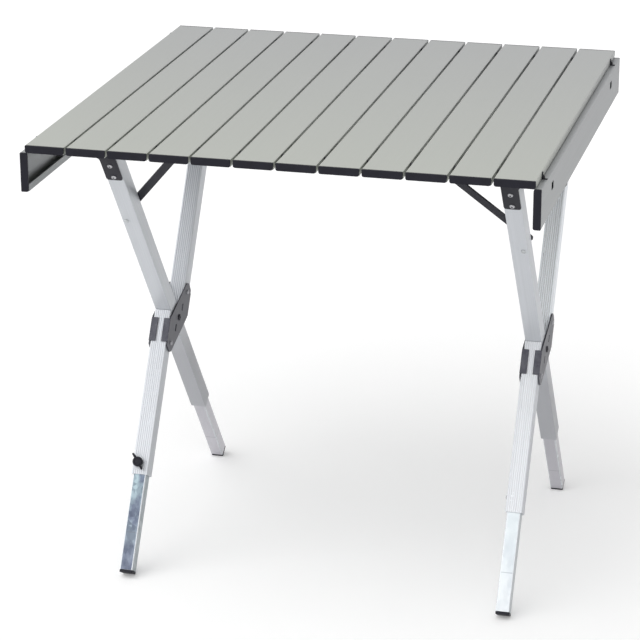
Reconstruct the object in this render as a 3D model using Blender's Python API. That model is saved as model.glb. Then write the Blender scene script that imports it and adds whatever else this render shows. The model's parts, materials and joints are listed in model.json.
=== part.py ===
"""Extendable roll-top camping table: aluminium slats on two crossed pairs of telescopic legs.

Metres, +Z up. X runs along the rails, Y from the front edge to the back edge along the slats,
and the origin is on the floor under the middle of the slat top.

Each pair of legs crosses in its own upright plane. The front leg of a pair is one tube, from
the front rail down to the back foot. The rear leg is two tubes, one on each side of the front
leg, joined by a steel plate on either side: the upper one comes down from the rear rail, and
the lower one goes on to the front foot.
"""

import math

import bmesh
import bpy
from mathutils import Matrix, Vector

# Overall sizes
TABLE_HEIGHT = 0.6985
TABLE_DEPTH = 0.6985

# Slats
SLAT_COUNT = 12
SLAT_WIDTH = 0.055
SLAT_THICKNESS = 0.0105
SLAT_GAP = 0.0035
SLAT_WALL = 0.0013
SLAT_LIP = 0.010
SLAT_EDGE = 0.0008

# Plastic caps in the ends of the slats
CAP_FLANGE = 0.0028
CAP_TONGUE = 0.012
CAP_CORNER = 0.003

# Elastic cords through the side walls of the slats
CORD_DIAMETER = 0.003
CORD_INSET = 0.048
CORD_SLOT_WIDTH = 0.0036
CORD_SLOT_HEIGHT = 0.0070
ANCHOR_WIDTH = 0.015
ANCHOR_LENGTH = 0.011
ANCHOR_DEPTH = 0.005
ANCHOR_DROP = 0.020
ANCHOR_ASIDE = 0.040

# How far a hanging end slat is tucked under the edge of the top
LEAF_TUCK = 0.0027

# Where the legs stand under the top, and how they lean
FRAME_SHIFT_X = 0.0125
PIVOT_Y = 0.019
PIVOT_HEIGHT = 0.3277
LEG_SPACING = 0.566
FRONT_LEG_ANGLE = math.radians(36.58)
REAR_LEG_ANGLE = math.radians(31.96)

# Leg tubes
LEG_TUBE = 0.025
LEG_CORNER = 0.0016
LEG_SIDE_GAP = 0.003
INNER_TUBE = 0.020
INNER_WALL = 0.0015
FRONT_LEG_REACH = 0.240
REAR_LEG_REACH = 0.250
LEG_ENGAGEMENT = 0.060
LEG_TRAVEL = 0.110
RIB_COUNT = 7
RIB_PITCH = 0.0030
RIB_WIDTH = 0.0012
RIB_DEPTH = 0.0005

# Feet
FOOT_FLANGE = 0.0040
FOOT_PLUG = 0.015

# Rails across the legs
RAIL_LENGTH = 0.647
RAIL_DEPTH = 0.026
RAIL_HEIGHT = 0.022
RAIL_WALL = 0.0015
RAIL_CORNER = 0.0015
RAIL_CAP_FLANGE = 0.003
RAIL_CAP_TONGUE = 0.004

# Steel brackets from the legs to the rails
BRACKET_THICKNESS = 0.002
BRACKET_WIDTH = 0.024
BRACKET_LENGTH = 0.063
BRACKET_CORNER = 0.004
BRACKET_RIVET_HIGH = 0.0305
BRACKET_RIVET_LOW = 0.0560
BRACKET_ARM_LOW = 0.0112
BRACKET_ARM_TOP = 0.0200
BRACKET_ARM_RIVET = 0.0105
BRACKET_RIVET_INSET = 0.0105
BRACKET_FILLET = 0.008

# Flat-bar braces from the legs to the rails
BRACE_THICKNESS = 0.003
BRACE_WIDTH = 0.012
BRACE_DROP = 0.1640
BRACE_ASIDE = 0.0060
BRACE_TIP = 0.0045
BRACE_LEAN = 0.7235
BRACE_RISE = 0.0070

# Steel plates on either side of each crossing
PLATE_THICKNESS = 0.002
PLATE_EDGE_LOW = 0.052
PLATE_EDGE_HIGH = 0.009
PLATE_TIP_LENGTH = 0.059
PLATE_RIVET_ALONG = 0.045
PLATE_RIVET_INSET = 0.0085
PLATE_SLOT_ALONG = 0.0180
PLATE_SLOT_ASIDE = 0.0095
PLATE_SLOT_LENGTH = 0.011
PLATE_SLOT_WIDTH = 0.0045
TAB_LOW = 0.047
TAB_HIGH = 0.011
TAB_WIDTH = 0.008

# Fasteners
BOLT_RADIUS = 0.003
BOLT_HEAD_RADIUS = 0.0048
BOLT_HEAD_HEIGHT = 0.0016
BOLT_SOCKET_RADIUS = 0.0018
BOLT_SOCKET_DEPTH = 0.0010
RIVET_RADIUS = 0.0020
RIVET_HEAD_RADIUS = 0.0036
RIVET_HEAD_HEIGHT = 0.0016
RIVET_TAIL_RADIUS = 0.0028
RIVET_TAIL_HEIGHT = 0.0010

# Latches near the ends of the outer tubes
BUTTON_RADIUS = 0.0035
BUTTON_HEIGHT = 0.003
BUTTON_FROM_END = 0.022
KNOB_FROM_END = 0.0175
KNOB_ASIDE = 0.003
KNOB_RADIUS = 0.0075
KNOB_HEIGHT = 0.011
KNOB_WING_SPAN = 0.030
KNOB_WING_THICKNESS = 0.003
KNOB_WING_TURN = math.radians(-53.0)
KNOB_STUD_RADIUS = 0.003

# Clips that hold the top on the rails
CLIP_SLATS = (3, 10)
CLIP_WIDTH = 0.024
CLIP_EAR = 0.008
CLIP_PRONG = 0.002
CLIP_DROP = 0.007
CLIP_HEAD = 0.0016
CLIP_TAIL = 0.003

CLEARANCE = 0.0003
ROUND_STEPS = 12
CORNER_STEPS = 2

# Sizes that follow from the ones above
UNDERSIDE = TABLE_HEIGHT - SLAT_THICKNESS
SLAT_PITCH = SLAT_WIDTH + SLAT_GAP
TOP_WIDTH = SLAT_COUNT * SLAT_PITCH - SLAT_GAP
RAIL_TOP = UNDERSIDE - CLEARANCE
RAIL_BOTTOM = RAIL_TOP - RAIL_HEIGHT
LEG_WALL = (LEG_TUBE - INNER_TUBE) / 2 - CLEARANCE
LEG_OFFSET = LEG_TUBE + LEG_SIDE_GAP
CROSSING_ANGLE = FRONT_LEG_ANGLE + REAR_LEG_ANGLE
CORD_Y = TABLE_DEPTH / 2 - CORD_INSET
CORD_Z = TABLE_HEIGHT - SLAT_THICKNESS / 2
EDGE_X = TOP_WIDTH / 2
# An end slat turns about the point that carries it from under the edge to level with the top
HINGE_X = EDGE_X + (SLAT_GAP - CLEARANCE - LEAF_TUCK) / 2
HINGE_Z = UNDERSIDE + (SLAT_GAP - CLEARANCE + LEAF_TUCK) / 2
LEFT, RIGHT = -1, 1

# Maps a profile drawn in (x, z) to the world, drawn out along -Y
ALONG_Y = Matrix.Rotation(math.pi / 2, 4, "X")
# Maps a profile drawn in (y, z) to the world, drawn out along +X
ALONG_X = Matrix(((0, 0, 1, 0), (1, 0, 0, 0), (0, 1, 0, 0), (0, 0, 0, 1)))


def clear_scene():
    for thing in list(bpy.data.objects):
        bpy.data.objects.remove(thing)


def material(name, colour, roughness, metallic):
    made = bpy.data.materials.new(name)
    made.use_nodes = True
    shader = made.node_tree.nodes["Principled BSDF"]
    shader.inputs["Base Color"].default_value = (*colour, 1.0)
    shader.inputs["Roughness"].default_value = roughness
    shader.inputs["Metallic"].default_value = metallic
    made.diffuse_color = (*colour, 1.0)
    return made


def carrier(name, place):
    """An empty at the place that its pieces turn or slide about."""
    empty = bpy.data.objects.new(name, None)
    empty.location = place
    empty.empty_display_size = 0.02
    bpy.context.collection.objects.link(empty)
    return empty


def add_node(name, shape, finish, holder, round_piece=False):
    """Make an object of a shape drawn in world coordinates, with its origin at its holder."""
    bmesh.ops.translate(shape, verts=shape.verts, vec=-holder.location)
    bmesh.ops.recalc_face_normals(shape, faces=shape.faces)
    mesh = bpy.data.meshes.new(name)
    shape.to_mesh(mesh)
    shape.free()
    if round_piece:
        mesh.shade_smooth()
        mesh.set_sharp_from_angle(angle=math.radians(35))
    mesh.materials.append(finish)
    node = bpy.data.objects.new(name, mesh)
    node.parent = holder
    bpy.context.collection.objects.link(node)
    return node


def combined(shape, other, operation):
    """Cut another shape from a shape, or join the two, with an exact Boolean modifier."""
    objects = []
    for source in (shape, other):
        bmesh.ops.recalc_face_normals(source, faces=source.faces)
        mesh = bpy.data.meshes.new("operand")
        source.to_mesh(mesh)
        source.free()
        operand = bpy.data.objects.new("operand", mesh)
        bpy.context.collection.objects.link(operand)
        objects.append(operand)
    piece, tool = objects
    boolean = piece.modifiers.new("boolean", "BOOLEAN")
    boolean.operation = operation
    boolean.object = tool
    boolean.solver = "EXACT"
    graph = bpy.context.evaluated_depsgraph_get()
    result = bpy.data.meshes.new_from_object(piece.evaluated_get(graph))
    made = bmesh.new()
    made.from_mesh(result)
    bpy.data.meshes.remove(result)
    for operand in objects:
        bpy.data.objects.remove(operand)
    return made


def arc(centre, radius, start, end, steps):
    """Points on an arc, from one angle to another in degrees."""
    points = []
    for step in range(steps + 1):
        angle = math.radians(start + (end - start) * step / steps)
        points.append((centre[0] + radius * math.cos(angle), centre[1] + radius * math.sin(angle)))
    return points


def circle(centre, radius, steps=ROUND_STEPS):
    return arc(centre, radius, 0, 360, steps)[:-1]


def rounded_box(half_width, half_height, radius, steps=CORNER_STEPS):
    """The outline of a box about the origin, with round corners, counterclockwise from the right."""
    x, y = half_width - radius, half_height - radius
    outline = arc((x, -y), radius, -90, 0, steps)
    outline += arc((x, y), radius, 0, 90, steps)
    outline += arc((-x, y), radius, 90, 180, steps)
    outline += arc((-x, -y), radius, 180, 270, steps)
    return outline


def fill(shape, loops):
    """Fill the flat area inside the first loop and outside the others."""
    edges = []
    for loop in loops:
        corners = [shape.verts.new((u, v, 0.0)) for u, v in loop]
        for first, second in zip(corners, corners[1:] + corners[:1]):
            edges.append(shape.edges.new((first, second)))
    bmesh.ops.triangle_fill(shape, edges=edges, use_beauty=True)


def prism(loops, low, high, place=None):
    """Draw loops out from one height to another, each a number or a function of the second axis."""
    shape = bmesh.new()
    fill(shape, loops)
    bottom = list(shape.verts)
    drawn = bmesh.ops.extrude_face_region(shape, geom=shape.faces[:])
    top = [item for item in drawn["geom"] if isinstance(item, bmesh.types.BMVert)]
    for corners, height in ((bottom, low), (top, high)):
        for corner in corners:
            corner.co.z = height(corner.co.y) if callable(height) else height
    if place is not None:
        shape.transform(place)
    return shape


def push_out(shape, faces, way):
    """Extend a shape by moving some of its faces, with walls between them and the rest."""
    edges = {edge for face in faces for edge in face.edges}
    corners = {corner for face in faces for corner in face.verts}
    drawn = bmesh.ops.extrude_face_region(shape, geom=list(faces) + list(edges) + list(corners))
    moved = [item for item in drawn["geom"] if isinstance(item, bmesh.types.BMVert)]
    bmesh.ops.translate(shape, verts=moved, vec=way)


def stepped_prism(outline, step_outline, flange, length, place):
    """A flange from 0 to its thickness, with a smaller tongue standing on it."""
    shape = bmesh.new()
    fill(shape, [outline, step_outline])
    ring = list(shape.faces)
    inner = [corner for corner in shape.verts][len(outline):]
    middle = shape.faces.new(inner)
    drawn = bmesh.ops.extrude_face_region(shape, geom=ring + [middle])
    raised = [item for item in drawn["geom"] if isinstance(item, bmesh.types.BMFace)]
    bmesh.ops.translate(
        shape, verts=list({corner for face in raised for corner in face.verts}), vec=(0, 0, flange)
    )
    tongue = max(raised, key=lambda face: len(face.verts))
    push_out(shape, [tongue], (0, 0, length))
    shape.transform(place)
    return shape


def turned(profile, place, steps=ROUND_STEPS):
    """Spin a profile of (radius, height) points about Z, from the axis back to the axis."""
    shape = bmesh.new()
    corners = [shape.verts.new((radius, 0.0, height)) for radius, height in profile]
    edges = [shape.edges.new(pair) for pair in zip(corners, corners[1:])]
    bmesh.ops.spin(
        shape, geom=corners + edges, cent=(0, 0, 0), axis=(0, 0, 1), angle=math.tau,
        steps=steps, use_merge=True,
    )
    bmesh.ops.remove_doubles(shape, verts=shape.verts, dist=1e-6)
    shape.transform(place)
    return shape


def rod(radius, low, high, place, steps=ROUND_STEPS):
    """A round bar along Z, also used to cut round holes."""
    return turned([(0, low), (radius, low), (radius, high), (0, high)], place, steps)


def pointing(place, direction):
    """Stand a piece drawn along +Z at a place, along a direction."""
    turn = Vector((0, 0, 1)).rotation_difference(Vector(direction)).to_matrix().to_4x4()
    return Matrix.Translation(place) @ turn


def joined(shapes):
    """Several separate shapes as one, for instance to cut them all at once."""
    made = bmesh.new()
    for shape in shapes:
        mesh = bpy.data.meshes.new("copy")
        shape.to_mesh(mesh)
        shape.free()
        made.from_mesh(mesh)
        bpy.data.meshes.remove(mesh)
    return made


class LegPlane:
    """The plane of a leg: x across, y square to the leg and z along it, from the pivot."""

    def __init__(self, angle, face, inward):
        self.angle = angle
        self.place = Matrix.Translation((FRAME_SHIFT_X, PIVOT_Y, PIVOT_HEIGHT))
        self.place = self.place @ Matrix.Rotation(angle, 4, "X")
        # The two faces that look out of and into the table, and the way in
        self.outer = face
        self.inner = face + inward * LEG_TUBE
        self.inward = inward

    def world(self, x, y, z):
        return self.place @ Vector((x, y, z))

    def height_at(self, level):
        """The distance along the leg, as a function of y, at which the world height is a level."""
        rise = level - PIVOT_HEIGHT
        return lambda y: (rise - y * math.sin(self.angle)) / math.cos(self.angle)

    def along(self, place):
        """A piece that is drawn along the leg, at a place in this plane."""
        return self.place @ Matrix.Translation(place)


FRONT = LegPlane(FRONT_LEG_ANGLE, -LEG_TUBE / 2, 1)
REAR = LegPlane(-REAR_LEG_ANGLE, LEG_OFFSET + LEG_TUBE / 2, -1)


def rail_faces(plane):
    """World y of the rail's outer and inner faces, in line with the outer face of the leg."""
    start = plane.outer - plane.inward * CLEARANCE
    outer = plane.world(0, start, plane.height_at(RAIL_BOTTOM)(start)).y + plane.inward * CLEARANCE
    return outer, outer + plane.inward * RAIL_DEPTH


def sheet_fold(plane, inside):
    """Where a sheet on one face of the leg bends upright: its world y and z, and z along the leg."""
    if inside:
        y = plane.inner + plane.inward * CLEARANCE
        upright = rail_faces(plane)[1] + plane.inward * CLEARANCE
        along = (PIVOT_Y + y * math.cos(plane.angle) - upright) / math.sin(plane.angle)
    else:
        y = plane.outer - plane.inward * CLEARANCE
        along = plane.height_at(RAIL_BOTTOM)(y)
    fold = plane.world(0, y, along)
    return fold.y, fold.z, along


def folded_sheet(loops, plane, x, thickness, inside):
    """A flat blank in (x, distance along the leg), bent where it turns upright on the rail."""
    fold_y, fold_z, fold = sheet_fold(plane, inside)
    shape = bmesh.new()
    fill(shape, loops)
    bmesh.ops.bisect_plane(
        shape, geom=shape.verts[:] + shape.edges[:] + shape.faces[:],
        plane_co=(0, fold, 0), plane_no=(0, 1, 0), dist=1e-6,
    )
    drawn = bmesh.ops.extrude_face_region(shape, geom=shape.faces[:])
    raised = {item for item in drawn["geom"] if isinstance(item, bmesh.types.BMVert)}
    side = plane.inward if inside else -plane.inward
    up = Vector((0, -math.sin(plane.angle), math.cos(plane.angle)))
    out = side * Vector((0, math.cos(plane.angle), math.sin(plane.angle)))
    upright_out = Vector((0, side, 0))
    corner = (out + upright_out) / (1 + out.dot(upright_out))
    for vert in shape.verts:
        depth = thickness if vert in raised else 0.0
        past = vert.co.y - fold
        start = Vector((FRAME_SHIFT_X + x + vert.co.x, fold_y, fold_z))
        if abs(past) < 1e-5:
            vert.co = start + depth * corner
        elif past < 0:
            vert.co = start + past * up + depth * out
        else:
            vert.co = start + Vector((0, 0, past)) + depth * upright_out
    return shape


def upright_point(plane, inside, x, past):
    """A point on the touching face of a bent sheet, a distance above its fold."""
    fold_y, fold_z, _ = sheet_fold(plane, inside)
    return Vector((FRAME_SHIFT_X + x, fold_y, fold_z + past))


def leg_x(side):
    return side * LEG_SPACING / 2


# Slat top


def slat_outline():
    """A box with small chamfers, in (x, z) from the top's underside."""
    half, top = SLAT_WIDTH / 2, SLAT_THICKNESS
    right = [(half - SLAT_EDGE, 0), (half, SLAT_EDGE), (half, top - SLAT_EDGE), (half - SLAT_EDGE, top)]
    return right + [(-x, z) for x, z in reversed(right)]


def cap_corner_outline(way):
    """What the plastic cap in the end of a slat leaves away at a lower corner: outside an arc."""
    half, margin = SLAT_WIDTH / 2, SLAT_WALL
    outline = arc((half - CAP_CORNER, CAP_CORNER), CAP_CORNER, 270, 360, 3)
    outline += [(half + margin, CAP_CORNER), (half + margin, -margin), (half - CAP_CORNER, -margin)]
    return [(way * x, z) for x, z in outline]


def channel_outline():
    """The hollow of a slat, with its mouth between two lips."""
    inner, mouth = SLAT_WIDTH / 2 - SLAT_WALL, SLAT_WIDTH / 2 - SLAT_LIP
    roof = SLAT_THICKNESS - SLAT_WALL
    right = [(mouth, -SLAT_WALL), (mouth, SLAT_WALL), (inner, SLAT_WALL), (inner, roof)]
    return right + [(-x, z) for x, z in reversed(right)]


def box_outline(centre, half_width, half_height):
    u, v = centre
    return [
        (u - half_width, v - half_height), (u + half_width, v - half_height),
        (u + half_width, v + half_height), (u - half_width, v + half_height),
    ]


def cord_slots(side_walls):
    """Boxes that cut the cord slots through the side walls of a slat."""
    slots = []
    for wall in side_walls:
        for end in (-1, 1):
            middle = (end * CORD_Y, SLAT_THICKNESS / 2)
            outline = box_outline(middle, CORD_SLOT_WIDTH / 2, CORD_SLOT_HEIGHT / 2)
            near, far = SLAT_WIDTH / 2 - 2 * SLAT_WALL, SLAT_WIDTH / 2 + SLAT_WALL
            slots.append(prism([outline], wall * near, wall * far, ALONG_X))
    return joined(slots)


def slat_shape(side_walls=(-1, 1)):
    """A channel that is open below, closed at each end by a plastic cap with its tongue inside."""
    half = TABLE_DEPTH / 2
    channel_half = half - CAP_FLANGE
    hollow_half = channel_half - CAP_TONGUE
    shape = prism([slat_outline()], -half, half, ALONG_Y)
    cutters = [prism([channel_outline()], -hollow_half, hollow_half, ALONG_Y)]
    for end in (-1, 1):
        for way in (-1, 1):
            outline = cap_corner_outline(way)
            cutters.append(prism([outline], end * channel_half, end * (half + CAP_FLANGE), ALONG_Y))
    shape = combined(shape, joined(cutters), "DIFFERENCE")
    return combined(shape, cord_slots(side_walls), "DIFFERENCE")


def cord_turn_outline(end):
    """The run of a cord inside an end slat, from where it comes in to its plug."""
    middle = (ANCHOR_DROP - SLAT_WIDTH / 2, end * (CORD_Y - ANCHOR_ASIDE / 2))
    return box_outline(middle, 0.4 * CORD_DIAMETER, ANCHOR_ASIDE / 2 + CORD_DIAMETER)


def anchor_outline(end, clearance):
    """The plug that holds the end of a cord, in the plane of an end slat's face."""
    middle = (ANCHOR_DROP - SLAT_WIDTH / 2, end * (CORD_Y - ANCHOR_ASIDE))
    return box_outline(middle, ANCHOR_LENGTH / 2 + clearance, ANCHOR_WIDTH / 2 + clearance)


def leaf_shape():
    """An end slat lying flat with its hinge side towards -X, and the cord ends that are fixed in it."""
    shape = slat_shape((-1,))
    middle = SLAT_THICKNESS / 2
    face = SLAT_THICKNESS - SLAT_WALL / 2
    for end in (-1, 1):
        plug = prism([anchor_outline(end, 0)], middle - ANCHOR_DEPTH / 2, face)
        start = pointing((-SLAT_WIDTH / 2, end * CORD_Y, middle), (1, 0, 0))
        cord = rod(CORD_DIAMETER / 2, 0, ANCHOR_DROP, start, 8)
        half = 0.3 * CORD_DIAMETER
        run = prism([cord_turn_outline(end)], middle - half, middle + half)
        held = combined(combined(plug, run, "UNION"), cord, "UNION")
        shape = combined(shape, held, "UNION")
        window = prism([anchor_outline(end, -CLEARANCE)], face, SLAT_THICKNESS + SLAT_WALL)
        shape = combined(shape, window, "DIFFERENCE")
    return shape


def slat_place(index):
    """Place of a slat, counted from 1 on the left."""
    x = -TOP_WIDTH / 2 + SLAT_WIDTH / 2 + (index - 1) * SLAT_PITCH
    return Matrix.Translation((x, 0, UNDERSIDE))


def leaf_place(side):
    """An end slat hanging from the edge of the top, folded down from level with it."""
    hinge = Vector((HINGE_X, 0, HINGE_Z))
    level = Vector((EDGE_X + SLAT_GAP + SLAT_WIDTH / 2, 0, UNDERSIDE))
    folded = Matrix.Translation(hinge) @ Matrix.Rotation(math.pi / 2, 4, "Y")
    right = folded @ Matrix.Translation(level - hinge)
    if side == RIGHT:
        return right
    return Matrix.Diagonal((-1, 1, 1, 1)) @ right


def cord_shape(end):
    """A cord in the top, from one edge to the other, standing out a little at each."""
    reach = EDGE_X + SLAT_GAP - CLEARANCE
    return rod(CORD_DIAMETER / 2, -reach, reach, pointing((0, end * CORD_Y, CORD_Z), (1, 0, 0)), 8)


def clip_shape(plane, slat):
    """A plastic clip in a slat's channel, hooked over a rail."""
    outer, inner = rail_faces(plane)
    way = plane.inward
    depth = RAIL_DEPTH
    head_low, head_top = SLAT_WALL + CLEARANCE, SLAT_WALL + CLEARANCE + CLIP_HEAD
    outline = [(-CLEARANCE - CLIP_PRONG, -CLIP_DROP), (-CLEARANCE, -CLIP_DROP), (-CLEARANCE, 0)]
    if plane is REAR:
        # The rear rail never moves under the top, so its clip also hooks behind it
        outline += [(depth + CLEARANCE, 0), (depth + CLEARANCE, -CLIP_DROP)]
        outline += [(depth + CLEARANCE + CLIP_PRONG, -CLIP_DROP), (depth + CLEARANCE + CLIP_PRONG, head_top)]
    else:
        outline += [(depth + CLIP_TAIL, 0), (depth + CLIP_TAIL, head_top)]
    outline += [(-CLEARANCE - CLIP_PRONG, head_top)]
    body = [(outer + way * d, UNDERSIDE + z) for d, z in outline]
    start, end = outer - way * (CLEARANCE + CLIP_PRONG), inner + way * CLIP_PRONG
    ears = [(start, UNDERSIDE + head_low), (end, UNDERSIDE + head_low)]
    ears += [(end, UNDERSIDE + head_top), (start, UNDERSIDE + head_top)]
    x = slat_place(slat).translation.x
    half = CLIP_WIDTH / 2
    neck = prism([body], x - half, x + half, ALONG_X)
    head = prism([ears], x - half - CLIP_EAR, x + half + CLIP_EAR, ALONG_X)
    return combined(neck, head, "UNION")


# Legs


def ribbed_outline(ribbed):
    """The outline of a leg tube, with grooves in the side towards +y or -y."""
    half = LEG_TUBE / 2
    outline = rounded_box(half, half, LEG_CORNER)
    quarter = CORNER_STEPS + 1
    grooves = []
    for rib in range(RIB_COUNT):
        x = (rib - (RIB_COUNT - 1) / 2) * RIB_PITCH
        slope = RIB_WIDTH / 4
        grooves += [(x - RIB_WIDTH / 2, half), (x - slope, half - RIB_DEPTH)]
        grooves += [(x + slope, half - RIB_DEPTH), (x + RIB_WIDTH / 2, half)]
    if ribbed > 0:
        return outline[:2 * quarter] + list(reversed(grooves)) + outline[2 * quarter:]
    return outline + [(x, -y) for x, y in grooves]


def bore_outline():
    half = LEG_TUBE / 2 - LEG_WALL
    return rounded_box(half, half, LEG_CORNER / 2, 1)


def cross_hole(plane, x, y, z, radius, reach):
    """A cutter through both side walls of a leg, along X."""
    return rod(radius, -reach, reach, pointing(plane.world(x, y, z), (1, 0, 0)))


def face_hole(plane, x, face, z, radius, depth):
    """A cutter through the wall at a face of a leg, square to it."""
    normal = plane.place.to_3x3() @ Vector((0, 1, 0))
    return rod(radius, -depth, depth, pointing(plane.world(x, face, z), normal))


def leg_tube(plane, side, y, low, high, ribbed, cutters):
    """A leg tube along z in its plane, with its holes."""
    middle = plane.along((leg_x(side), 0, 0))
    loops = []
    for outline in (ribbed_outline(ribbed), bore_outline()):
        loops.append([(u, v + y) for u, v in outline])
    shape = prism(loops, low, high, middle)
    return combined(shape, joined(cutters), "DIFFERENCE")


def bracket_holes(plane, side):
    """Holes in the outer wall of a leg for the two bracket rivets, and through it for the brace."""
    fold = sheet_fold(plane, False)[2]
    hole = RIVET_RADIUS + CLEARANCE
    x = leg_x(side)
    cutters = []
    for drop in (BRACKET_RIVET_HIGH, BRACKET_RIVET_LOW):
        cutters.append(face_hole(plane, x, plane.outer, fold - drop, hole, 2 * LEG_WALL))
    low = x + side * BRACE_ASIDE
    cutters.append(face_hole(plane, low, plane.outer, fold - BRACE_DROP, hole, 2 * LEG_TUBE))
    return cutters


def end_cut(sign):
    """Height at which the rear tubes end, flush with the face of the front leg that crosses them."""
    gap = LEG_TUBE / 2 + 2 * CLEARANCE
    return lambda y: (sign * gap - y * math.cos(CROSSING_ANGLE)) / math.sin(CROSSING_ANGLE)


def front_leg(side):
    cutters = bracket_holes(FRONT, side)
    cutters.append(cross_hole(FRONT, leg_x(side), 0, 0, BOLT_RADIUS + CLEARANCE, LEG_TUBE))
    cutters.append(latch_hole(FRONT, side, 0, FRONT_LEG_REACH))
    top = FRONT.height_at(RAIL_BOTTOM - CLEARANCE)
    return leg_tube(FRONT, side, 0, -FRONT_LEG_REACH, top, 1, cutters)


def rear_upper_leg(side):
    cutters = bracket_holes(REAR, side)
    rivet_y, rivet_z = plate_rivet(1)
    cutters.append(cross_hole(REAR, leg_x(side), rivet_y, rivet_z, RIVET_RADIUS + CLEARANCE, LEG_TUBE))
    top = REAR.height_at(RAIL_BOTTOM - CLEARANCE)
    return leg_tube(REAR, side, LEG_OFFSET, end_cut(1), top, -1, cutters)


def rear_lower_leg(side):
    rivet_y, rivet_z = plate_rivet(-1)
    cutters = [cross_hole(REAR, leg_x(side), rivet_y, rivet_z, RIVET_RADIUS + CLEARANCE, LEG_TUBE)]
    cutters.append(latch_hole(REAR, side, -LEG_OFFSET, REAR_LEG_REACH))
    return leg_tube(REAR, side, -LEG_OFFSET, -REAR_LEG_REACH, end_cut(-1), -1, cutters)


def has_knob(plane, side):
    """Only the left front foot has a clamp knob. The other three have a snap button."""
    return plane is REAR and side == LEFT


def latch_hole(plane, side, y, reach):
    """The hole in the outer tube for a snap button in its left side, or for the knob's stud."""
    if has_knob(plane, side):
        front = y - LEG_TUBE / 2
        radius = KNOB_STUD_RADIUS + CLEARANCE
        x = leg_x(side) - KNOB_ASIDE
        return face_hole(plane, x, front, KNOB_FROM_END - reach, radius, 2 * LEG_WALL)
    wall = leg_x(side) - LEG_TUBE / 2
    radius = BUTTON_RADIUS + CLEARANCE
    return cross_hole(plane, wall, y, BUTTON_FROM_END - reach, radius, LEG_WALL + CLEARANCE)


def inner_leg(plane, side, y, reach):
    """The square tube that slides in the outer one, with a button hole at each end of its travel."""
    half = INNER_TUBE / 2
    bore = half - INNER_WALL
    loops = []
    for outline in (rounded_box(half, half, LEG_CORNER), rounded_box(bore, bore, LEG_CORNER / 2, 1)):
        loops.append([(u, v + y) for u, v in outline])
    low = floor_end(plane, y) + FOOT_FLANGE + CLEARANCE
    shape = prism(loops, low, LEG_ENGAGEMENT + LEG_TRAVEL - reach, plane.along((leg_x(side), 0, 0)))
    if has_knob(plane, side):
        return shape
    wall = leg_x(side) - half
    holes = []
    for travel in (0, LEG_TRAVEL):
        height = BUTTON_FROM_END - reach + travel
        holes.append(cross_hole(plane, wall, y, height, BUTTON_RADIUS + CLEARANCE, 2 * INNER_WALL))
    return combined(shape, joined(holes), "DIFFERENCE")


def floor_end(plane, y):
    """Distance along the leg to the flat end of its foot, whose lower edge rests on the floor."""
    lower = y - math.copysign(INNER_TUBE / 2, plane.angle)
    return plane.height_at(0.0)(lower)


def foot_cap(plane, side, y):
    """A plastic plug with a flange under the end of an inner leg."""
    half = INNER_TUBE / 2
    bore = half - INNER_WALL - CLEARANCE
    outline = rounded_box(half, half, LEG_CORNER)
    tongue = rounded_box(bore, bore, LEG_CORNER / 2, 1)
    # Written from the lower face up, and the tongue has as many corners as make it the largest face
    place = plane.along((leg_x(side), y, floor_end(plane, y)))
    return stepped_prism(outline, tongue, FOOT_FLANGE, FOOT_PLUG, place)


# Rails, brackets and braces


def rail_tube(plane):
    outer, inner = rail_faces(plane)
    half_depth, half_height = RAIL_DEPTH / 2, RAIL_HEIGHT / 2
    middle = Matrix.Translation((FRAME_SHIFT_X, (outer + inner) / 2, RAIL_TOP - half_height))
    loops = [
        rounded_box(half_depth, half_height, RAIL_CORNER),
        rounded_box(half_depth - RAIL_WALL, half_height - RAIL_WALL, RAIL_CORNER / 2, 1),
    ]
    reach = RAIL_LENGTH / 2 - RAIL_CAP_FLANGE - CLEARANCE
    shape = prism(loops, -reach, reach, middle @ ALONG_X)
    holes = []
    for side in (LEFT, RIGHT):
        for spot in (arm_rivet_place(plane, side), brace_rivet_place(plane, side)):
            place = pointing(spot, (0, 1, 0))
            holes.append(rod(RIVET_RADIUS + CLEARANCE, -2 * RAIL_WALL, 2 * RAIL_WALL, place))
    return combined(shape, joined(holes), "DIFFERENCE")


def rail_cap(plane, side):
    outer, inner = rail_faces(plane)
    half_depth, half_height = RAIL_DEPTH / 2, RAIL_HEIGHT / 2
    inset = RAIL_WALL + CLEARANCE
    outline = rounded_box(half_depth, half_height, RAIL_CORNER)
    tongue = rounded_box(half_depth - inset, half_height - inset, RAIL_CORNER / 2, 1)
    end = FRAME_SHIFT_X + side * RAIL_LENGTH / 2
    place = Matrix.Translation((end, (outer + inner) / 2, RAIL_TOP - half_height))
    place = place @ Matrix.Diagonal((-side, 1, 1, 1)) @ ALONG_X
    return stepped_prism(outline, tongue, RAIL_CAP_FLANGE, RAIL_CAP_TONGUE, place)


def bracket_arm_x():
    """How far the arm of a bracket reaches out from the middle of its leg: to the rail's end."""
    return RAIL_LENGTH / 2 - LEG_SPACING / 2


def arm_rivet_place(plane, side):
    """Where the rivet of a bracket's arm goes into the rail's outer face."""
    x = leg_x(side) + side * (bracket_arm_x() - BRACKET_RIVET_INSET)
    return upright_point(plane, False, x, BRACKET_ARM_RIVET)


def brace_rivet_place(plane, side):
    """Where the upper rivet of a brace goes into the rail's inner face."""
    return upright_point(plane, True, leg_x(side) - side * brace_top(plane)[0], BRACE_RISE)


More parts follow.
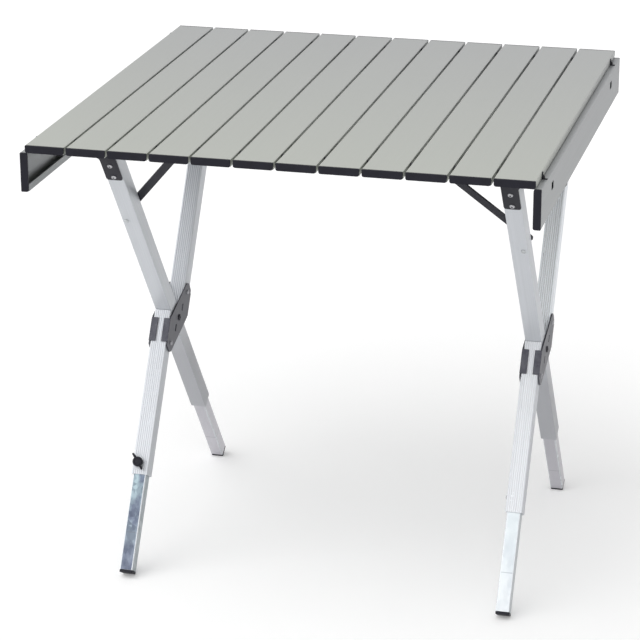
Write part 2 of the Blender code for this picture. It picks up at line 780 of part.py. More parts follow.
def bracket(plane, side):
    fold = sheet_fold(plane, False)[2]
    half, arm = BRACKET_WIDTH / 2, bracket_arm_x()
    low, arm_low, arm_top = fold - BRACKET_LENGTH, fold - BRACKET_ARM_LOW, fold + BRACKET_ARM_TOP
    corner = BRACKET_CORNER
    outline = arc((corner - half, low + corner), corner, 180, 270, 3)
    outline += arc((half - corner, low + corner), corner, 270, 360, 3)
    outline += arc((half + BRACKET_FILLET, arm_low - BRACKET_FILLET), BRACKET_FILLET, 180, 90, 3)
    outline += [(arm, arm_low), (arm, arm_top), (-half, arm_top)]
    outline = [(side * x, z) for x, z in outline]
    shape = folded_sheet([outline], plane, leg_x(side), BRACKET_THICKNESS, False)
    return with_rivets(shape, bracket_rivets(plane, side))


def brace_top(plane):
    """The upper rivet of a brace: how far in from the leg, and how far above the fold."""
    bottom = sheet_fold(plane, False)[2] - BRACE_DROP
    top = sheet_fold(plane, True)[2] + BRACE_RISE
    return BRACE_LEAN * (top - bottom) - BRACE_ASIDE, BRACE_RISE


def brace(plane, side):
    fold = sheet_fold(plane, True)[2]
    bottom = sheet_fold(plane, False)[2] - BRACE_DROP
    reach, rise = brace_top(plane)
    low, high = (side * BRACE_ASIDE, bottom), (-side * reach, fold + rise)
    lean = math.degrees(math.atan2(high[1] - low[1], high[0] - low[0]))
    radius = BRACE_WIDTH / 2
    toward = (Vector(high) - Vector(low)).normalized()
    tip = Vector(low) - BRACE_TIP * toward
    outline = arc((tip.x, tip.y), radius, lean + 90, lean + 270, 6)
    outline += arc(high, radius, lean - 90, lean + 90, 6)
    shape = folded_sheet([outline], plane, leg_x(side), BRACE_THICKNESS, True)
    return with_rivets(shape, brace_rivets(plane, side))


# Plates at the crossings


def plate_rivet(sign):
    """Place of the rivet in one tip of a plate, on the upper tube or the lower one."""
    return sign * (LEG_OFFSET - LEG_TUBE / 2 + PLATE_RIVET_INSET), sign * PLATE_RIVET_ALONG


def plate_outline():
    """Half of the outline in (y, z), then the same turned half round the pivot."""
    edge = LEG_OFFSET + LEG_TUBE / 2 + CLEARANCE
    outside = edge + PLATE_THICKNESS
    rivet_y, rivet_z = plate_rivet(1)
    tip = PLATE_TIP_LENGTH - rivet_z
    half = [(edge, PLATE_EDGE_LOW)]
    half += arc((rivet_y, rivet_z), tip, 60, 150, 3)
    half += [(-edge, -PLATE_EDGE_HIGH), (-edge, -TAB_HIGH), (-outside, -TAB_HIGH)]
    half += [(-outside, -TAB_LOW), (-edge, -TAB_LOW)]
    return half + [(-y, -z) for y, z in half]


def plate_slots():
    """Two slots along the leg, one on each side of the pivot."""
    middle = Vector((PLATE_SLOT_ASIDE, PLATE_SLOT_ALONG))
    return [box_outline(sign * middle, PLATE_SLOT_WIDTH / 2, PLATE_SLOT_LENGTH / 2) for sign in (-1, 1)]


def pivot_plate(side, way):
    """A plate towards +X or -X of a crossing, with its tabs folded round the tubes.

    The plate on the outer side of a leg carries the two rivets, which go through the inner one.
    """
    edge = LEG_OFFSET + LEG_TUBE / 2 + CLEARANCE
    shape = bmesh.new()
    loops = [plate_outline(), circle((0, 0), BOLT_RADIUS + CLEARANCE)] + plate_slots()
    if way != side:
        loops += [circle(plate_rivet(sign), RIVET_RADIUS + CLEARANCE) for sign in (-1, 1)]
    fill(shape, loops)
    for sign in (-1, 1):
        bmesh.ops.bisect_plane(
            shape, geom=shape.verts[:] + shape.edges[:] + shape.faces[:],
            plane_co=(sign * edge, 0, 0), plane_no=(1, 0, 0), dist=1e-6,
        )
    drawn = bmesh.ops.extrude_face_region(shape, geom=shape.faces[:])
    top = [item for item in drawn["geom"] if isinstance(item, bmesh.types.BMVert)]
    bmesh.ops.translate(shape, verts=top, vec=(0, 0, PLATE_THICKNESS))
    shape.normal_update()
    for sign in (-1, 1):
        tab = []
        for face in shape.faces:
            middle = face.calc_center_median()
            if abs(face.normal.z) > 0.9 and abs(middle.z) < 1e-6 and sign * middle.x > edge:
                tab.append(face)
        push_out(shape, tab, (0, 0, -TAB_WIDTH - CLEARANCE))
    near = LEG_TUBE / 2 + CLEARANCE
    place = REAR.along((leg_x(side) + way * near, 0, 0)) @ Matrix.Diagonal((way, 1, 1, 1)) @ ALONG_X
    shape.transform(place)
    return with_rivets(shape, plate_rivets(side)) if way == side else shape


# Fasteners


def rivet(place, sheet, grip):
    """A rivet with a round head on a sheet at z = 0, and a flat tail behind what it grips below."""
    head, shank, tail = RIVET_HEAD_RADIUS, RIVET_RADIUS, RIVET_TAIL_RADIUS
    low = -sheet - grip - 2 * CLEARANCE
    profile = [(0, RIVET_HEAD_HEIGHT), (0.6 * head, 0.75 * RIVET_HEAD_HEIGHT), (head, CLEARANCE)]
    profile += [(head, -CLEARANCE), (shank, -CLEARANCE), (shank, low), (tail, low)]
    profile += [(tail, low - RIVET_TAIL_HEIGHT), (0, low - RIVET_TAIL_HEIGHT)]
    return turned(profile, place, 10)


def with_rivets(shape, rivets):
    for one in rivets:
        shape = combined(shape, one, "UNION")
    return shape


def bracket_rivets(plane, side):
    """Two rivets into the leg's outer wall and one into the rail."""
    fold = sheet_fold(plane, False)[2]
    outward = plane.place.to_3x3() @ Vector((0, -plane.inward, 0))
    face = plane.outer - plane.inward * (CLEARANCE + BRACKET_THICKNESS)
    rivets = []
    for drop in (BRACKET_RIVET_HIGH, BRACKET_RIVET_LOW):
        place = pointing(plane.world(leg_x(side), face, fold - drop), outward)
        rivets.append(rivet(place, BRACKET_THICKNESS, LEG_WALL))
    spot = arm_rivet_place(plane, side) - Vector((0, plane.inward * BRACKET_THICKNESS, 0))
    rivets.append(rivet(pointing(spot, (0, -plane.inward, 0)), BRACKET_THICKNESS, RAIL_WALL))
    return rivets


def brace_rivets(plane, side):
    """A rivet right through the leg and one into the rail."""
    fold = sheet_fold(plane, False)[2]
    inward = plane.place.to_3x3() @ Vector((0, plane.inward, 0))
    face = plane.inner + plane.inward * (CLEARANCE + BRACE_THICKNESS)
    aside = leg_x(side) + side * BRACE_ASIDE
    low = pointing(plane.world(aside, face, fold - BRACE_DROP), inward)
    spot = brace_rivet_place(plane, side) + Vector((0, plane.inward * BRACE_THICKNESS, 0))
    high = pointing(spot, (0, plane.inward, 0))
    return [rivet(low, BRACE_THICKNESS, LEG_TUBE), rivet(high, BRACE_THICKNESS, RAIL_WALL)]


def plate_rivets(side):
    """Long rivets from the outer plate through the tube and the inner plate."""
    outside = LEG_TUBE / 2 + CLEARANCE + PLATE_THICKNESS
    rivets = []
    for sign in (-1, 1):
        y, z = plate_rivet(sign)
        place = pointing(REAR.world(leg_x(side) + side * outside, y, z), (side, 0, 0))
        rivets.append(rivet(place, PLATE_THICKNESS, LEG_TUBE + CLEARANCE + PLATE_THICKNESS))
    return rivets


def pivot_bolt(side):
    """The bolt at the middle of a crossing, with a socket in each round head."""
    outside = LEG_TUBE / 2 + 2 * CLEARANCE + PLATE_THICKNESS
    top = outside + BOLT_HEAD_HEIGHT
    half = [(0, top - BOLT_SOCKET_DEPTH), (BOLT_SOCKET_RADIUS, top - BOLT_SOCKET_DEPTH)]
    half += [(BOLT_SOCKET_RADIUS, top), (BOLT_HEAD_RADIUS - SLAT_EDGE, top)]
    half += [(BOLT_HEAD_RADIUS, top - SLAT_EDGE), (BOLT_HEAD_RADIUS, outside), (BOLT_RADIUS, outside)]
    profile = half + [(r, -z) for r, z in reversed(half)]
    place = pointing(FRONT.world(leg_x(side), 0, 0), (1, 0, 0))
    return turned(profile, place, 16)


# Latches


def button_place(plane, side, y, reach):
    """Where a snap button comes through the left side of its outer tube, on either side's legs."""
    return plane.world(leg_x(side) - LEG_TUBE / 2, y, BUTTON_FROM_END - reach)


def snap_button(plane, side, y, reach):
    low, high = -LEG_WALL, BUTTON_HEIGHT
    dome = BUTTON_RADIUS / 2
    profile = [(0, low), (BUTTON_RADIUS, low), (BUTTON_RADIUS, high - dome)]
    profile += [(0.86 * BUTTON_RADIUS, high - dome / 2), (0.5 * BUTTON_RADIUS, high - 0.1 * dome), (0, high)]
    return turned(profile, pointing(button_place(plane, side, y, reach), (-1, 0, 0)))


def knob_place():
    """The foot of the clamp knob on the front face of the left lower leg."""
    face = -LEG_OFFSET - LEG_TUBE / 2
    return REAR.world(leg_x(LEFT) - KNOB_ASIDE, face, KNOB_FROM_END - REAR_LEG_REACH)


def wing_knob():
    """A round hub with two thin wings, and the stud that presses on the inner leg."""
    out = REAR.place.to_3x3() @ Vector((0, -1, 0))
    collar = 0.72 * KNOB_RADIUS
    base = CLEARANCE
    profile = [(0, -LEG_WALL), (KNOB_STUD_RADIUS, -LEG_WALL), (KNOB_STUD_RADIUS, base), (collar, base)]
    profile += [(collar, 0.2 * KNOB_HEIGHT), (KNOB_RADIUS, 0.35 * KNOB_HEIGHT)]
    profile += [(KNOB_RADIUS, 0.85 * KNOB_HEIGHT), (0.85 * KNOB_RADIUS, KNOB_HEIGHT), (0, KNOB_HEIGHT)]
    hub = turned(profile, Matrix(), 16)
    half = KNOB_WING_SPAN / 2
    low, high = 0.3 * KNOB_HEIGHT, 0.8 * KNOB_HEIGHT
    outline = [(-half, high), (-half + 0.004, low), (half - 0.004, low), (half, high)]
    outline += [(half - 0.002, high + 0.0015), (-half + 0.002, high + 0.0015)]
    wings = prism([outline], -KNOB_WING_THICKNESS / 2, KNOB_WING_THICKNESS / 2, ALONG_Y)
    shape = combined(hub, wings, "UNION")
    across = Vector((1, 0, 0))
    up = out.cross(across)
    axes = Matrix((across, up, out)).transposed().to_4x4()
    turn = Matrix.Rotation(KNOB_WING_TURN, 4, "Z")
    shape.transform(Matrix.Translation(knob_place()) @ axes @ turn)
    return shape


# Assembly


def build_top(finishes, holder):
    for index in range(1, SLAT_COUNT + 1):
        shape = slat_shape()
        shape.transform(slat_place(index))
        add_node("slat_%02d" % index, shape, finishes["slat"], holder)
    for end, label in ((-1, "front"), (1, "rear")):
        add_node("elastic_cord_" + label, cord_shape(end), finishes["cord"], holder, True)
    for plane, label in ((FRONT, "front"), (REAR, "rear")):
        for slat, side in zip(CLIP_SLATS, ("left", "right")):
            name = "rail_clip_%s_%s" % (label, side)
            add_node(name, clip_shape(plane, slat), finishes["plastic"], holder)


def build_leaf(side, name, finishes):
    holder = carrier(name + "_hinge", (side * HINGE_X, 0, HINGE_Z))
    shape = leaf_shape()
    shape.transform(leaf_place(side))
    add_node(name, shape, finishes["slat"], holder)


def build_rail_frame(plane, name, finishes, holder):
    """The rail, its caps, brackets and braces of one leg frame."""
    add_node(name + "_rail", rail_tube(plane), finishes["black"], holder)
    for side, label in ((LEFT, "left"), (RIGHT, "right")):
        add_node("%s_rail_cap_%s" % (name, label), rail_cap(plane, side), finishes["plastic"], holder)
        add_node("%s_bracket_%s" % (name, label), bracket(plane, side), finishes["black"], holder)
        add_node("%s_brace_%s" % (name, label), brace(plane, side), finishes["black"], holder)


def build_foot(plane, side, name, y, reach, finishes):
    holder = carrier(name + "_slide", plane.world(leg_x(side), y, -reach))
    add_node(name + "_leg", inner_leg(plane, side, y, reach), finishes["zinc"], holder)
    add_node(name + "_foot_cap", foot_cap(plane, side, y), finishes["plastic"], holder)
    if has_knob(plane, side):
        knob_holder = carrier(name + "_knob_axis", knob_place())
        add_node(name + "_clamp_knob", wing_knob(), finishes["plastic"], knob_holder, True)
        return
    button_holder = carrier(name + "_button_axis", button_place(plane, side, y, reach))
    add_node(name + "_snap_button", snap_button(plane, side, y, reach), finishes["zinc"], button_holder, True)


def build_table():
    finishes = {
        "slat": material("brushed_slat", (0.46, 0.47, 0.44), 0.42, 0.85),
        "tube": material("satin_leg_tube", (0.62, 0.63, 0.65), 0.38, 0.85),
        "zinc": material("zinc_plate", (0.60, 0.66, 0.70), 0.25, 0.95),
        "black": material("black_steel", (0.022, 0.022, 0.026), 0.45, 0.2),
        "plastic": material("black_plastic", (0.018, 0.018, 0.024), 0.5, 0.0),
        "cord": material("black_cord", (0.012, 0.012, 0.014), 0.8, 0.0),
    }
    pivot = (FRAME_SHIFT_X, PIVOT_Y, PIVOT_HEIGHT)
    front = carrier("front_frame_pivot", pivot)
    rear = carrier("rear_frame_pivot", pivot)
    top = carrier("top_seat", (0, 0, UNDERSIDE))
    build_top(finishes, top)
    build_leaf(LEFT, "left_leaf", finishes)
    build_leaf(RIGHT, "right_leaf", finishes)
    build_rail_frame(FRONT, "front", finishes, front)
    build_rail_frame(REAR, "rear", finishes, rear)
    for side, label in ((LEFT, "left"), (RIGHT, "right")):
        add_node("front_leg_" + label, front_leg(side), finishes["tube"], front)
        add_node("rear_upper_leg_" + label, rear_upper_leg(side), finishes["tube"], rear)
        add_node("rear_lower_leg_" + label, rear_lower_leg(side), finishes["tube"], rear)
        for way, face in ((-side, "inner"), (side, "outer")):
            add_node("pivot_plate_%s_%s" % (label, face), pivot_plate(side, way), finishes["black"], rear)
        build_foot(FRONT, side, "back_" + label, 0.0, FRONT_LEG_REACH, finishes)
        build_foot(REAR, side, "near_" + label, -LEG_OFFSET, REAR_LEG_REACH, finishes)
        add_node("pivot_bolt_" + label, pivot_bolt(side), finishes["black"], rear, True)


clear_scene()
build_table()
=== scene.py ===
# %% [markdown]
# # An extendable camping table
# The table has a roll-up top of twelve aluminium slats, with one more slat hanging at each end, and it
# stands on two crossed pairs of square telescopic legs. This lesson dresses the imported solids: each
# solid is either rebuilt here as a finer piece, or copied with eased edges, and every piece gets a
# finish of its own. The pieces ride on the solids' bodies, so they fold and slide as the real ones do.

import json
import math

import bmesh
import bpy
from mathutils import Matrix, Vector

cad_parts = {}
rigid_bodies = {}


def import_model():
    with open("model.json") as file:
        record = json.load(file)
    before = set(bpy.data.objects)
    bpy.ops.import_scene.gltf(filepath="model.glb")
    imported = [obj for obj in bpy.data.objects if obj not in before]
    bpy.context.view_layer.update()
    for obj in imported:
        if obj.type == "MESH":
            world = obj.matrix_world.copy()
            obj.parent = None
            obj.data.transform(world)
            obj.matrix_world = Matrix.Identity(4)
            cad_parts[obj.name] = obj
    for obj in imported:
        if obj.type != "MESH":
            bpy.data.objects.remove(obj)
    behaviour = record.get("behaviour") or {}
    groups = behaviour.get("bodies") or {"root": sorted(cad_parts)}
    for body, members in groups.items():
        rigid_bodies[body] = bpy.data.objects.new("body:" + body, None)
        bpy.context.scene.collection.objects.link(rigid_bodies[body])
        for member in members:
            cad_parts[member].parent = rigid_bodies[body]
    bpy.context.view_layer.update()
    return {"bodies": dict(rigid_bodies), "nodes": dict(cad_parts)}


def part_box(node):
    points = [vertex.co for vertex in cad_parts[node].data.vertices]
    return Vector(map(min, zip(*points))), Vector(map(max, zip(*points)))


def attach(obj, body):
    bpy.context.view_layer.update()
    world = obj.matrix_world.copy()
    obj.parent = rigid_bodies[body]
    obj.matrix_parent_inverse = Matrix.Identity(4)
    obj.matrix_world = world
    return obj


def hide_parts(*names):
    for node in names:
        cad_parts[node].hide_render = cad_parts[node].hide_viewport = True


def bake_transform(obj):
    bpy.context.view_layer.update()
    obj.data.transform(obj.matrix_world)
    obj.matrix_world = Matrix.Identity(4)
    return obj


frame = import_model()
NODES = frame["nodes"]

# %% [markdown]
# ## The camera
# A long lens far away keeps the legs almost parallel. The camera could be placed by eye, but its angles
# were measured from the corners of the top and the four feet, so it is built from those numbers.

# %% Camera
CAMERA_TARGET = Vector((-0.0342, 0.019, 0.3428))
CAMERA_AZIMUTH = math.radians(14.61)
CAMERA_ELEVATION = math.radians(20.31)
CAMERA_ROLL = math.radians(-0.27)
CAMERA_DISTANCE = 3.8238
CAMERA_LENS = 143.36
SENSOR = 36.0


def new_object(name, data):
    """Make an object of a camera, a lamp or a mesh, and put it in the scene."""
    made = bpy.data.objects.new(name, data)
    bpy.context.scene.collection.objects.link(made)
    return made


def place_camera():
    """Stand the camera back from its target along the two angles, then roll it about its own axis."""
    flat = math.cos(CAMERA_ELEVATION)
    back = Vector((
        math.sin(CAMERA_AZIMUTH) * flat,
        -math.cos(CAMERA_AZIMUTH) * flat,
        math.sin(CAMERA_ELEVATION),
    ))
    data = bpy.data.cameras.new("camera")
    data.lens = CAMERA_LENS
    data.sensor_width = SENSOR
    camera = new_object("camera", data)
    turn = back.to_track_quat("Z", "Y").to_matrix().to_4x4()
    place = Matrix.Translation(CAMERA_TARGET + CAMERA_DISTANCE * back)
    camera.matrix_world = place @ turn @ Matrix.Rotation(CAMERA_ROLL, 4, "Z")
    bpy.context.scene.camera = camera
    return camera


camera = place_camera()
print("camera at", [round(part, 3) for part in camera.matrix_world.translation])

# %% [markdown]
# ## How the finishes are built
# Every finish is a small tree of nodes: a pattern is read at the piece's own place, turned into a number
# between two limits, and used to tint the colour, change the roughness or raise the surface. An image
# would need a flat layout of every piece, so patterns made by nodes are the better choice for metal.

# %% Helpers for the finishes


def feed(made, socket, value):
    """Link an earlier node's output to an input, or give the input a plain value."""
    if isinstance(value, bpy.types.NodeSocket):
        made.node_tree.links.new(value, socket)
    else:
        socket.default_value = value


def new_node(made, kind, **values):
    """Add a node and feed its inputs by name, with an underscore for a blank."""
    node = made.node_tree.nodes.new("ShaderNode" + kind)
    for name, value in values.items():
        feed(made, node.inputs[name.replace("_", " ")], value)
    return node


def math_step(made, operation, *numbers):
    """One step of arithmetic on sockets and plain numbers."""
    node = new_node(made, "Math")
    node.operation = operation
    for slot, number in enumerate(numbers):
        feed(made, node.inputs[slot], number)
    return node.outputs[0]


def principled(name, metallic, roughness=0.5, **values):
    """A new material whose plain numbers sit on the shader's own sockets."""
    made = bpy.data.materials.new(name)
    made.use_nodes = True
    shader = made.node_tree.nodes["Principled BSDF"]
    shader.inputs["Metallic"].default_value = metallic
    shader.inputs["Roughness"].default_value = roughness
    for socket, value in values.items():
        shader.inputs[socket.replace("_", " ")].default_value = value
    return made


def own_place(made, lean=0.0):
    """The point being shaded, turned back by the lean of a leg so that Z runs along it."""
    where = new_node(made, "TexCoord").outputs["Object"]
    if not lean:
        return where
    turn = new_node(made, "Mapping", Vector=where, Rotation=(-lean, 0.0, 0.0))
    return turn.outputs["Vector"]


def pattern(made, place, grains, kind, **values):
    """A pattern with so many grains in a metre, given as one number or as one for each axis."""
    scale = grains if isinstance(grains, tuple) else (grains, grains, grains)
    scaled = new_node(made, "Mapping", Vector=place, Scale=scale)
    return new_node(made, kind, Vector=scaled.outputs["Vector"], Scale=1.0, **values)


def noise(made, place, grains, detail=2.0, rough=0.5):
    return pattern(made, place, grains, "TexNoise", Detail=detail, Roughness=rough).outputs[0]


def cells(made, place, grains):
    """A random number for each cell of a Voronoi pattern."""
    found = pattern(made, place, grains, "TexVoronoi")
    return new_node(made, "SeparateColor", Color=found.outputs["Color"]).outputs[0]


def ranged(made, value, low, high, start=0.3, end=0.7):
    """Turn a pattern's middle values into a number between two limits."""
    node = new_node(made, "MapRange", Value=value, From_Min=start, From_Max=end, To_Min=low, To_Max=high)
    return node.outputs["Result"]


def tinted(made, factor, first, second):
    """Mix two colours, each a plain triple or the output of an earlier mix."""
    node = new_node(made, "Mix")
    node.data_type = "RGBA"
    feed(made, node.inputs[0], factor)
    for slot, colour in ((6, first), (7, second)):
        value = (*colour, 1.0) if isinstance(colour, tuple) else colour
        feed(made, node.inputs[slot], value)
    return node.outputs[2]


def along_axis(made, place, axis, offset=0.0):
    """One coordinate of a place, less an offset."""
    split = new_node(made, "SeparateXYZ", Vector=place)
    return math_step(made, "SUBTRACT", split.outputs[axis], offset)


def set_finish(made, colour, roughness=None, height=None, strength=0.1, distance=0.0001):
    """Connect what a recipe made to the shader."""
    shader = made.node_tree.nodes["Principled BSDF"]
    feed(made, shader.inputs["Base Color"], colour)
    if roughness is not None:
        feed(made, shader.inputs["Roughness"], roughness)
    if height is not None:
        bump = new_node(made, "Bump", Strength=strength, Distance=distance, Height=height)
        feed(made, shader.inputs["Normal"], bump.outputs["Normal"])
    return made


def meshed(name, shape, *finishes):
    """Turn a drawn shape into a smooth object with its finishes."""
    mesh = bpy.data.meshes.new(name)
    shape.to_mesh(mesh)
    shape.free()
    for finish in finishes:
        mesh.materials.append(finish)
    mesh.shade_smooth()
    return new_object(name, mesh)


print("finish helpers ready")

# %% [markdown]
# ## Light and floor
# The picture has a white ground and a soft light from above and the left. Many lamps could make it,
# but a world that is brighter on one side, with one wide sun, gives the same soft shading at any size.
# The camera sees the world as plain white, whatever light it sends.

# %% World, sun and floor
WORLD_BRIGHT = 0.82
WORLD_DIM = 0.12
WORLD_TOWARD = (-0.70, -0.30, 0.65)
SUN_STRENGTH = 1.65
SUN_ANGLE = math.radians(80)
SUN_TOWARD = Vector((-0.42, -0.62, 0.74))
WHITE = (1.0, 1.0, 1.0, 1.0)
FLOOR_HALF = 14.0
FLOOR_LIFT = 0.18


def background_ray(made):
    """One for a ray that shows the background: straight to the camera, or by way of metal or glass."""
    path = new_node(made, "LightPath")
    shown = path.outputs["Is Camera Ray"]
    for ray in ("Is Glossy Ray", "Is Transmission Ray"):
        shown = math_step(made, "MAXIMUM", shown, path.outputs[ray])
    return shown


def light_world():
    world = bpy.data.worlds.new("studio")
    bpy.context.scene.world = world
    world.use_nodes = True
    world.node_tree.nodes.clear()
    toward = new_node(world, "VectorMath")
    toward.operation = "DOT_PRODUCT"
    feed(world, toward.inputs[0], new_node(world, "TexCoord").outputs["Generated"])
    feed(world, toward.inputs[1], WORLD_TOWARD)
    level = ranged(world, toward.outputs["Value"], WORLD_DIM, WORLD_BRIGHT, -0.75, 0.9)
    given = new_node(world, "Background", Color=WHITE, Strength=level)
    seen = new_node(world, "Background", Color=WHITE, Strength=1.0)
    mix = new_node(world, "MixShader")
    for slot, part in enumerate((background_ray(world), given.outputs[0], seen.outputs[0])):
        feed(world, mix.inputs[slot], part)
    new_node(world, "OutputWorld", Surface=mix.outputs[0])


def add_sun():
    data = bpy.data.lights.new("window_light", "SUN")
    data.energy = SUN_STRENGTH
    data.angle = SUN_ANGLE
    sun = new_object("window_light", data)
    sun.matrix_world = SUN_TOWARD.to_track_quat("Z", "Y").to_matrix().to_4x4()


def add_floor():
    shape = bmesh.new()
    bmesh.ops.create_grid(shape, x_segments=1, y_segments=1, size=FLOOR_HALF)
    paper = principled("studio_paper", 0.0, 0.85, Specular_IOR_Level=0.1, Emission_Color=WHITE)
    grain = noise(paper, own_place(paper), 3.0)
    set_finish(paper, tinted(paper, grain, (0.90, 0.90, 0.90), (0.93, 0.93, 0.93)))
    lift = math_step(paper, "MULTIPLY", background_ray(paper), FLOOR_LIFT)
    shader = paper.node_tree.nodes["Principled BSDF"]
    feed(paper, shader.inputs["Emission Strength"], lift)
    meshed("studio_floor", shape, paper)


bpy.context.scene.view_settings.view_transform = "Standard"
light_world()
add_sun()
add_floor()
print("sun", SUN_STRENGTH, "world", WORLD_DIM, "to", WORLD_BRIGHT)

# %% [markdown]
# ## Slat aluminium
# The slats are drawn aluminium, anodised to a matte warm grey. Drawing leaves fine lines along each
# slat, and no two slats are quite the same tone. Stretched noise makes the lines, and a random number
# for each slat's place makes the tone. Painted light makes them paler and warmer towards the front of
# the table. The hanging end slats get a darker, cooler copy of the metal, which is painted shade, and
# edges are paler.

# %% Slat aluminium
SLAT_PITCH = 0.0585
SLAT_EDGE_X = 0.34925


def slat_tone(made, place):
    """A number that is the same all over a slat, and differs from slat to slat."""
    shift = SLAT_EDGE_X / SLAT_PITCH + 40.0
    count = math_step(made, "MULTIPLY_ADD", along_axis(made, place, "X"), 1 / SLAT_PITCH, shift)
    random = new_node(made, "TexWhiteNoise")
    random.noise_dimensions = "1D"
    feed(made, random.inputs["W"], math_step(made, "FLOOR", count))
    return random.outputs["Value"]


def slat_finish(name, deep, pale, roughness, front_lit_tone):
    """Drawn metal between two tones, with painted light that draws it to a warmer tone at the table's
    front.
    """
    made = principled(name, 0.55)
    place = own_place(made)
    lines = noise(made, place, (1100.0, 5.0, 1100.0), 3.0)
    clouds = noise(made, place, (9.0, 4.0, 9.0), 3.0)
    colour = tinted(made, ranged(made, lines, 0.25, 0.75), deep, pale)
    colour = tinted(made, ranged(made, slat_tone(made, place), 0.0, 0.22, 0.0, 1.0), colour, deep)
    colour = tinted(made, ranged(made, clouds, 0.0, 0.20), colour, pale)
    # Painted light: towards the front of the table the colour is drawn to a paler, warmer tone.
    painted_front_light = ranged(made, along_axis(made, place, "Y"), 0.0, 0.45, 0.35, -0.35)
    colour = tinted(made, painted_front_light, colour, front_lit_tone)
    rough = ranged(made, lines, roughness - 0.06, roughness + 0.06)
    return set_finish(made, colour, rough, lines, 0.10)


SLAT_METAL = slat_finish(
    "slat_anodised", (0.350, 0.358, 0.358), (0.425, 0.434, 0.432), 0.46, (0.545, 0.570, 0.490),
)
# Painted shade: the end slats are the same metal as the top, given a darker, cooler copy.
LEAF_METAL_PAINTED_SHADE = slat_finish(
    "leaf_anodised_painted_shade", (0.285, 0.292, 0.300), (0.350, 0.358, 0.368), 0.46, (0.37, 0.385, 0.385),
)
SLAT_RUBBED = slat_finish(
    "slat_rubbed_edge", (0.58, 0.585, 0.57), (0.74, 0.745, 0.73), 0.32, (0.70, 0.71, 0.68),
)
print(SLAT_METAL.name, LEAF_METAL_PAINTED_SHADE.name, SLAT_RUBBED.name)

# %% [markdown]
# ## Leg aluminium
# The outer leg tubes are paler than the slats, with faint lines drawn along them and a few rubbed
# patches. The legs lean, and lines that ran straight up would give the trick away, so the pattern is
# turned by the lean of each pair of legs. The grooves of the ribbed sides get painted shade. The tube
# in the shade of the top gets a far paler copy, which is painted light, and the lower halves of the
# front frame's tubes get a darker grey, which is painted shade.

# %% Leg aluminium
FRONT_LEAN = math.radians(36.58)
REAR_LEAN = math.radians(-31.96)
PIVOT = Vector((0.0125, 0.019, 0.3277))
LEG_X = 0.283
LEG_HALF = 0.0125
LEG_OFFSET = 0.028
RIB_PITCH = 0.0030
GROOVE_HALF = 0.00062
RIBBED_HALF = 0.0102
FACE_REACH = 0.0009
# Painted shade in the grooves of the ribbed sides.
GROOVE_PAINTED_SHADE = (0.40, 0.42, 0.47)


def grooves(made, place, lean, ribbed_faces):
    """One in the grooves of the ribbed sides of the tubes, and zero elsewhere: the painted shade's mask.
    """
    from_middle = math_step(made, "ABSOLUTE", along_axis(made, place, "X", PIVOT.x))
    across = math_step(made, "SUBTRACT", from_middle, LEG_X)
    in_pitch = math_step(made, "ABSOLUTE", math_step(made, "WRAP", across, RIB_PITCH / 2, -RIB_PITCH / 2))
    inside = math_step(made, "LESS_THAN", in_pitch, GROOVE_HALF)
    ribbed = math_step(made, "LESS_THAN", math_step(made, "ABSOLUTE", across), RIBBED_HALF)
    inside = math_step(made, "MULTIPLY", inside, ribbed)
    pivot_y = (Matrix.Rotation(-lean, 3, "X") @ PIVOT).y
    level = along_axis(made, place, "Y", pivot_y)
    near = None
    for face in ribbed_faces:
        one = math_step(made, "COMPARE", level, face, FACE_REACH)
        near = one if near is None else math_step(made, "MAXIMUM", near, one)
    return math_step(made, "MULTIPLY", inside, near)


def leg_finish(name, lean, deep, pale, roughness, ribbed_faces=(), strength=0.85, painted_low_shade=None):
    """Satin metal between two tones, with painted shade in the grooves and, if given, low on the leg."""
    made = principled(name, 0.30)
    place = own_place(made, lean)
    lines = noise(made, place, (420.0, 420.0, 3.0))
    patches = noise(made, place, (38.0, 38.0, 11.0), 4.0, 0.6)
    scuffs = noise(made, place, (260.0, 260.0, 60.0), 5.0, 0.7)
    colour = tinted(made, ranged(made, lines, 0.2, 0.8), deep, pale)
    colour = tinted(made, ranged(made, patches, 0.0, 0.35, 0.45, 0.7), colour, pale)
    colour = tinted(made, ranged(made, scuffs, 0.0, 0.30, 0.62, 0.75), colour, deep)
    # Painted shade darkens the grooves of the ribs.
    if ribbed_faces:
        shade = ranged(made, grooves(made, place, lean, ribbed_faces), 0.0, strength, 0.0, 1.0)
        colour = tinted(made, shade, colour, GROOVE_PAINTED_SHADE)
    # Painted shade: low on the leg the colour goes to a darker grey, where the top shades the tubes.
    if painted_low_shade:
        height = along_axis(made, own_place(made), "Z")
        colour = tinted(made, ranged(made, height, 0.85, 0.0, 0.25, 0.36), colour, painted_low_shade)
    rough = ranged(made, patches, roughness - 0.07, roughness + 0.05)
    return set_finish(made, colour, rough)


LEG_COLOURS = ((0.560, 0.580, 0.612), (0.635, 0.656, 0.690))
# Painted light: far paler tones for the tube that stands in the shade of the top.
PAINTED_LIGHT_COLOURS = ((0.86, 0.90, 0.95), (0.91, 0.95, 0.98))
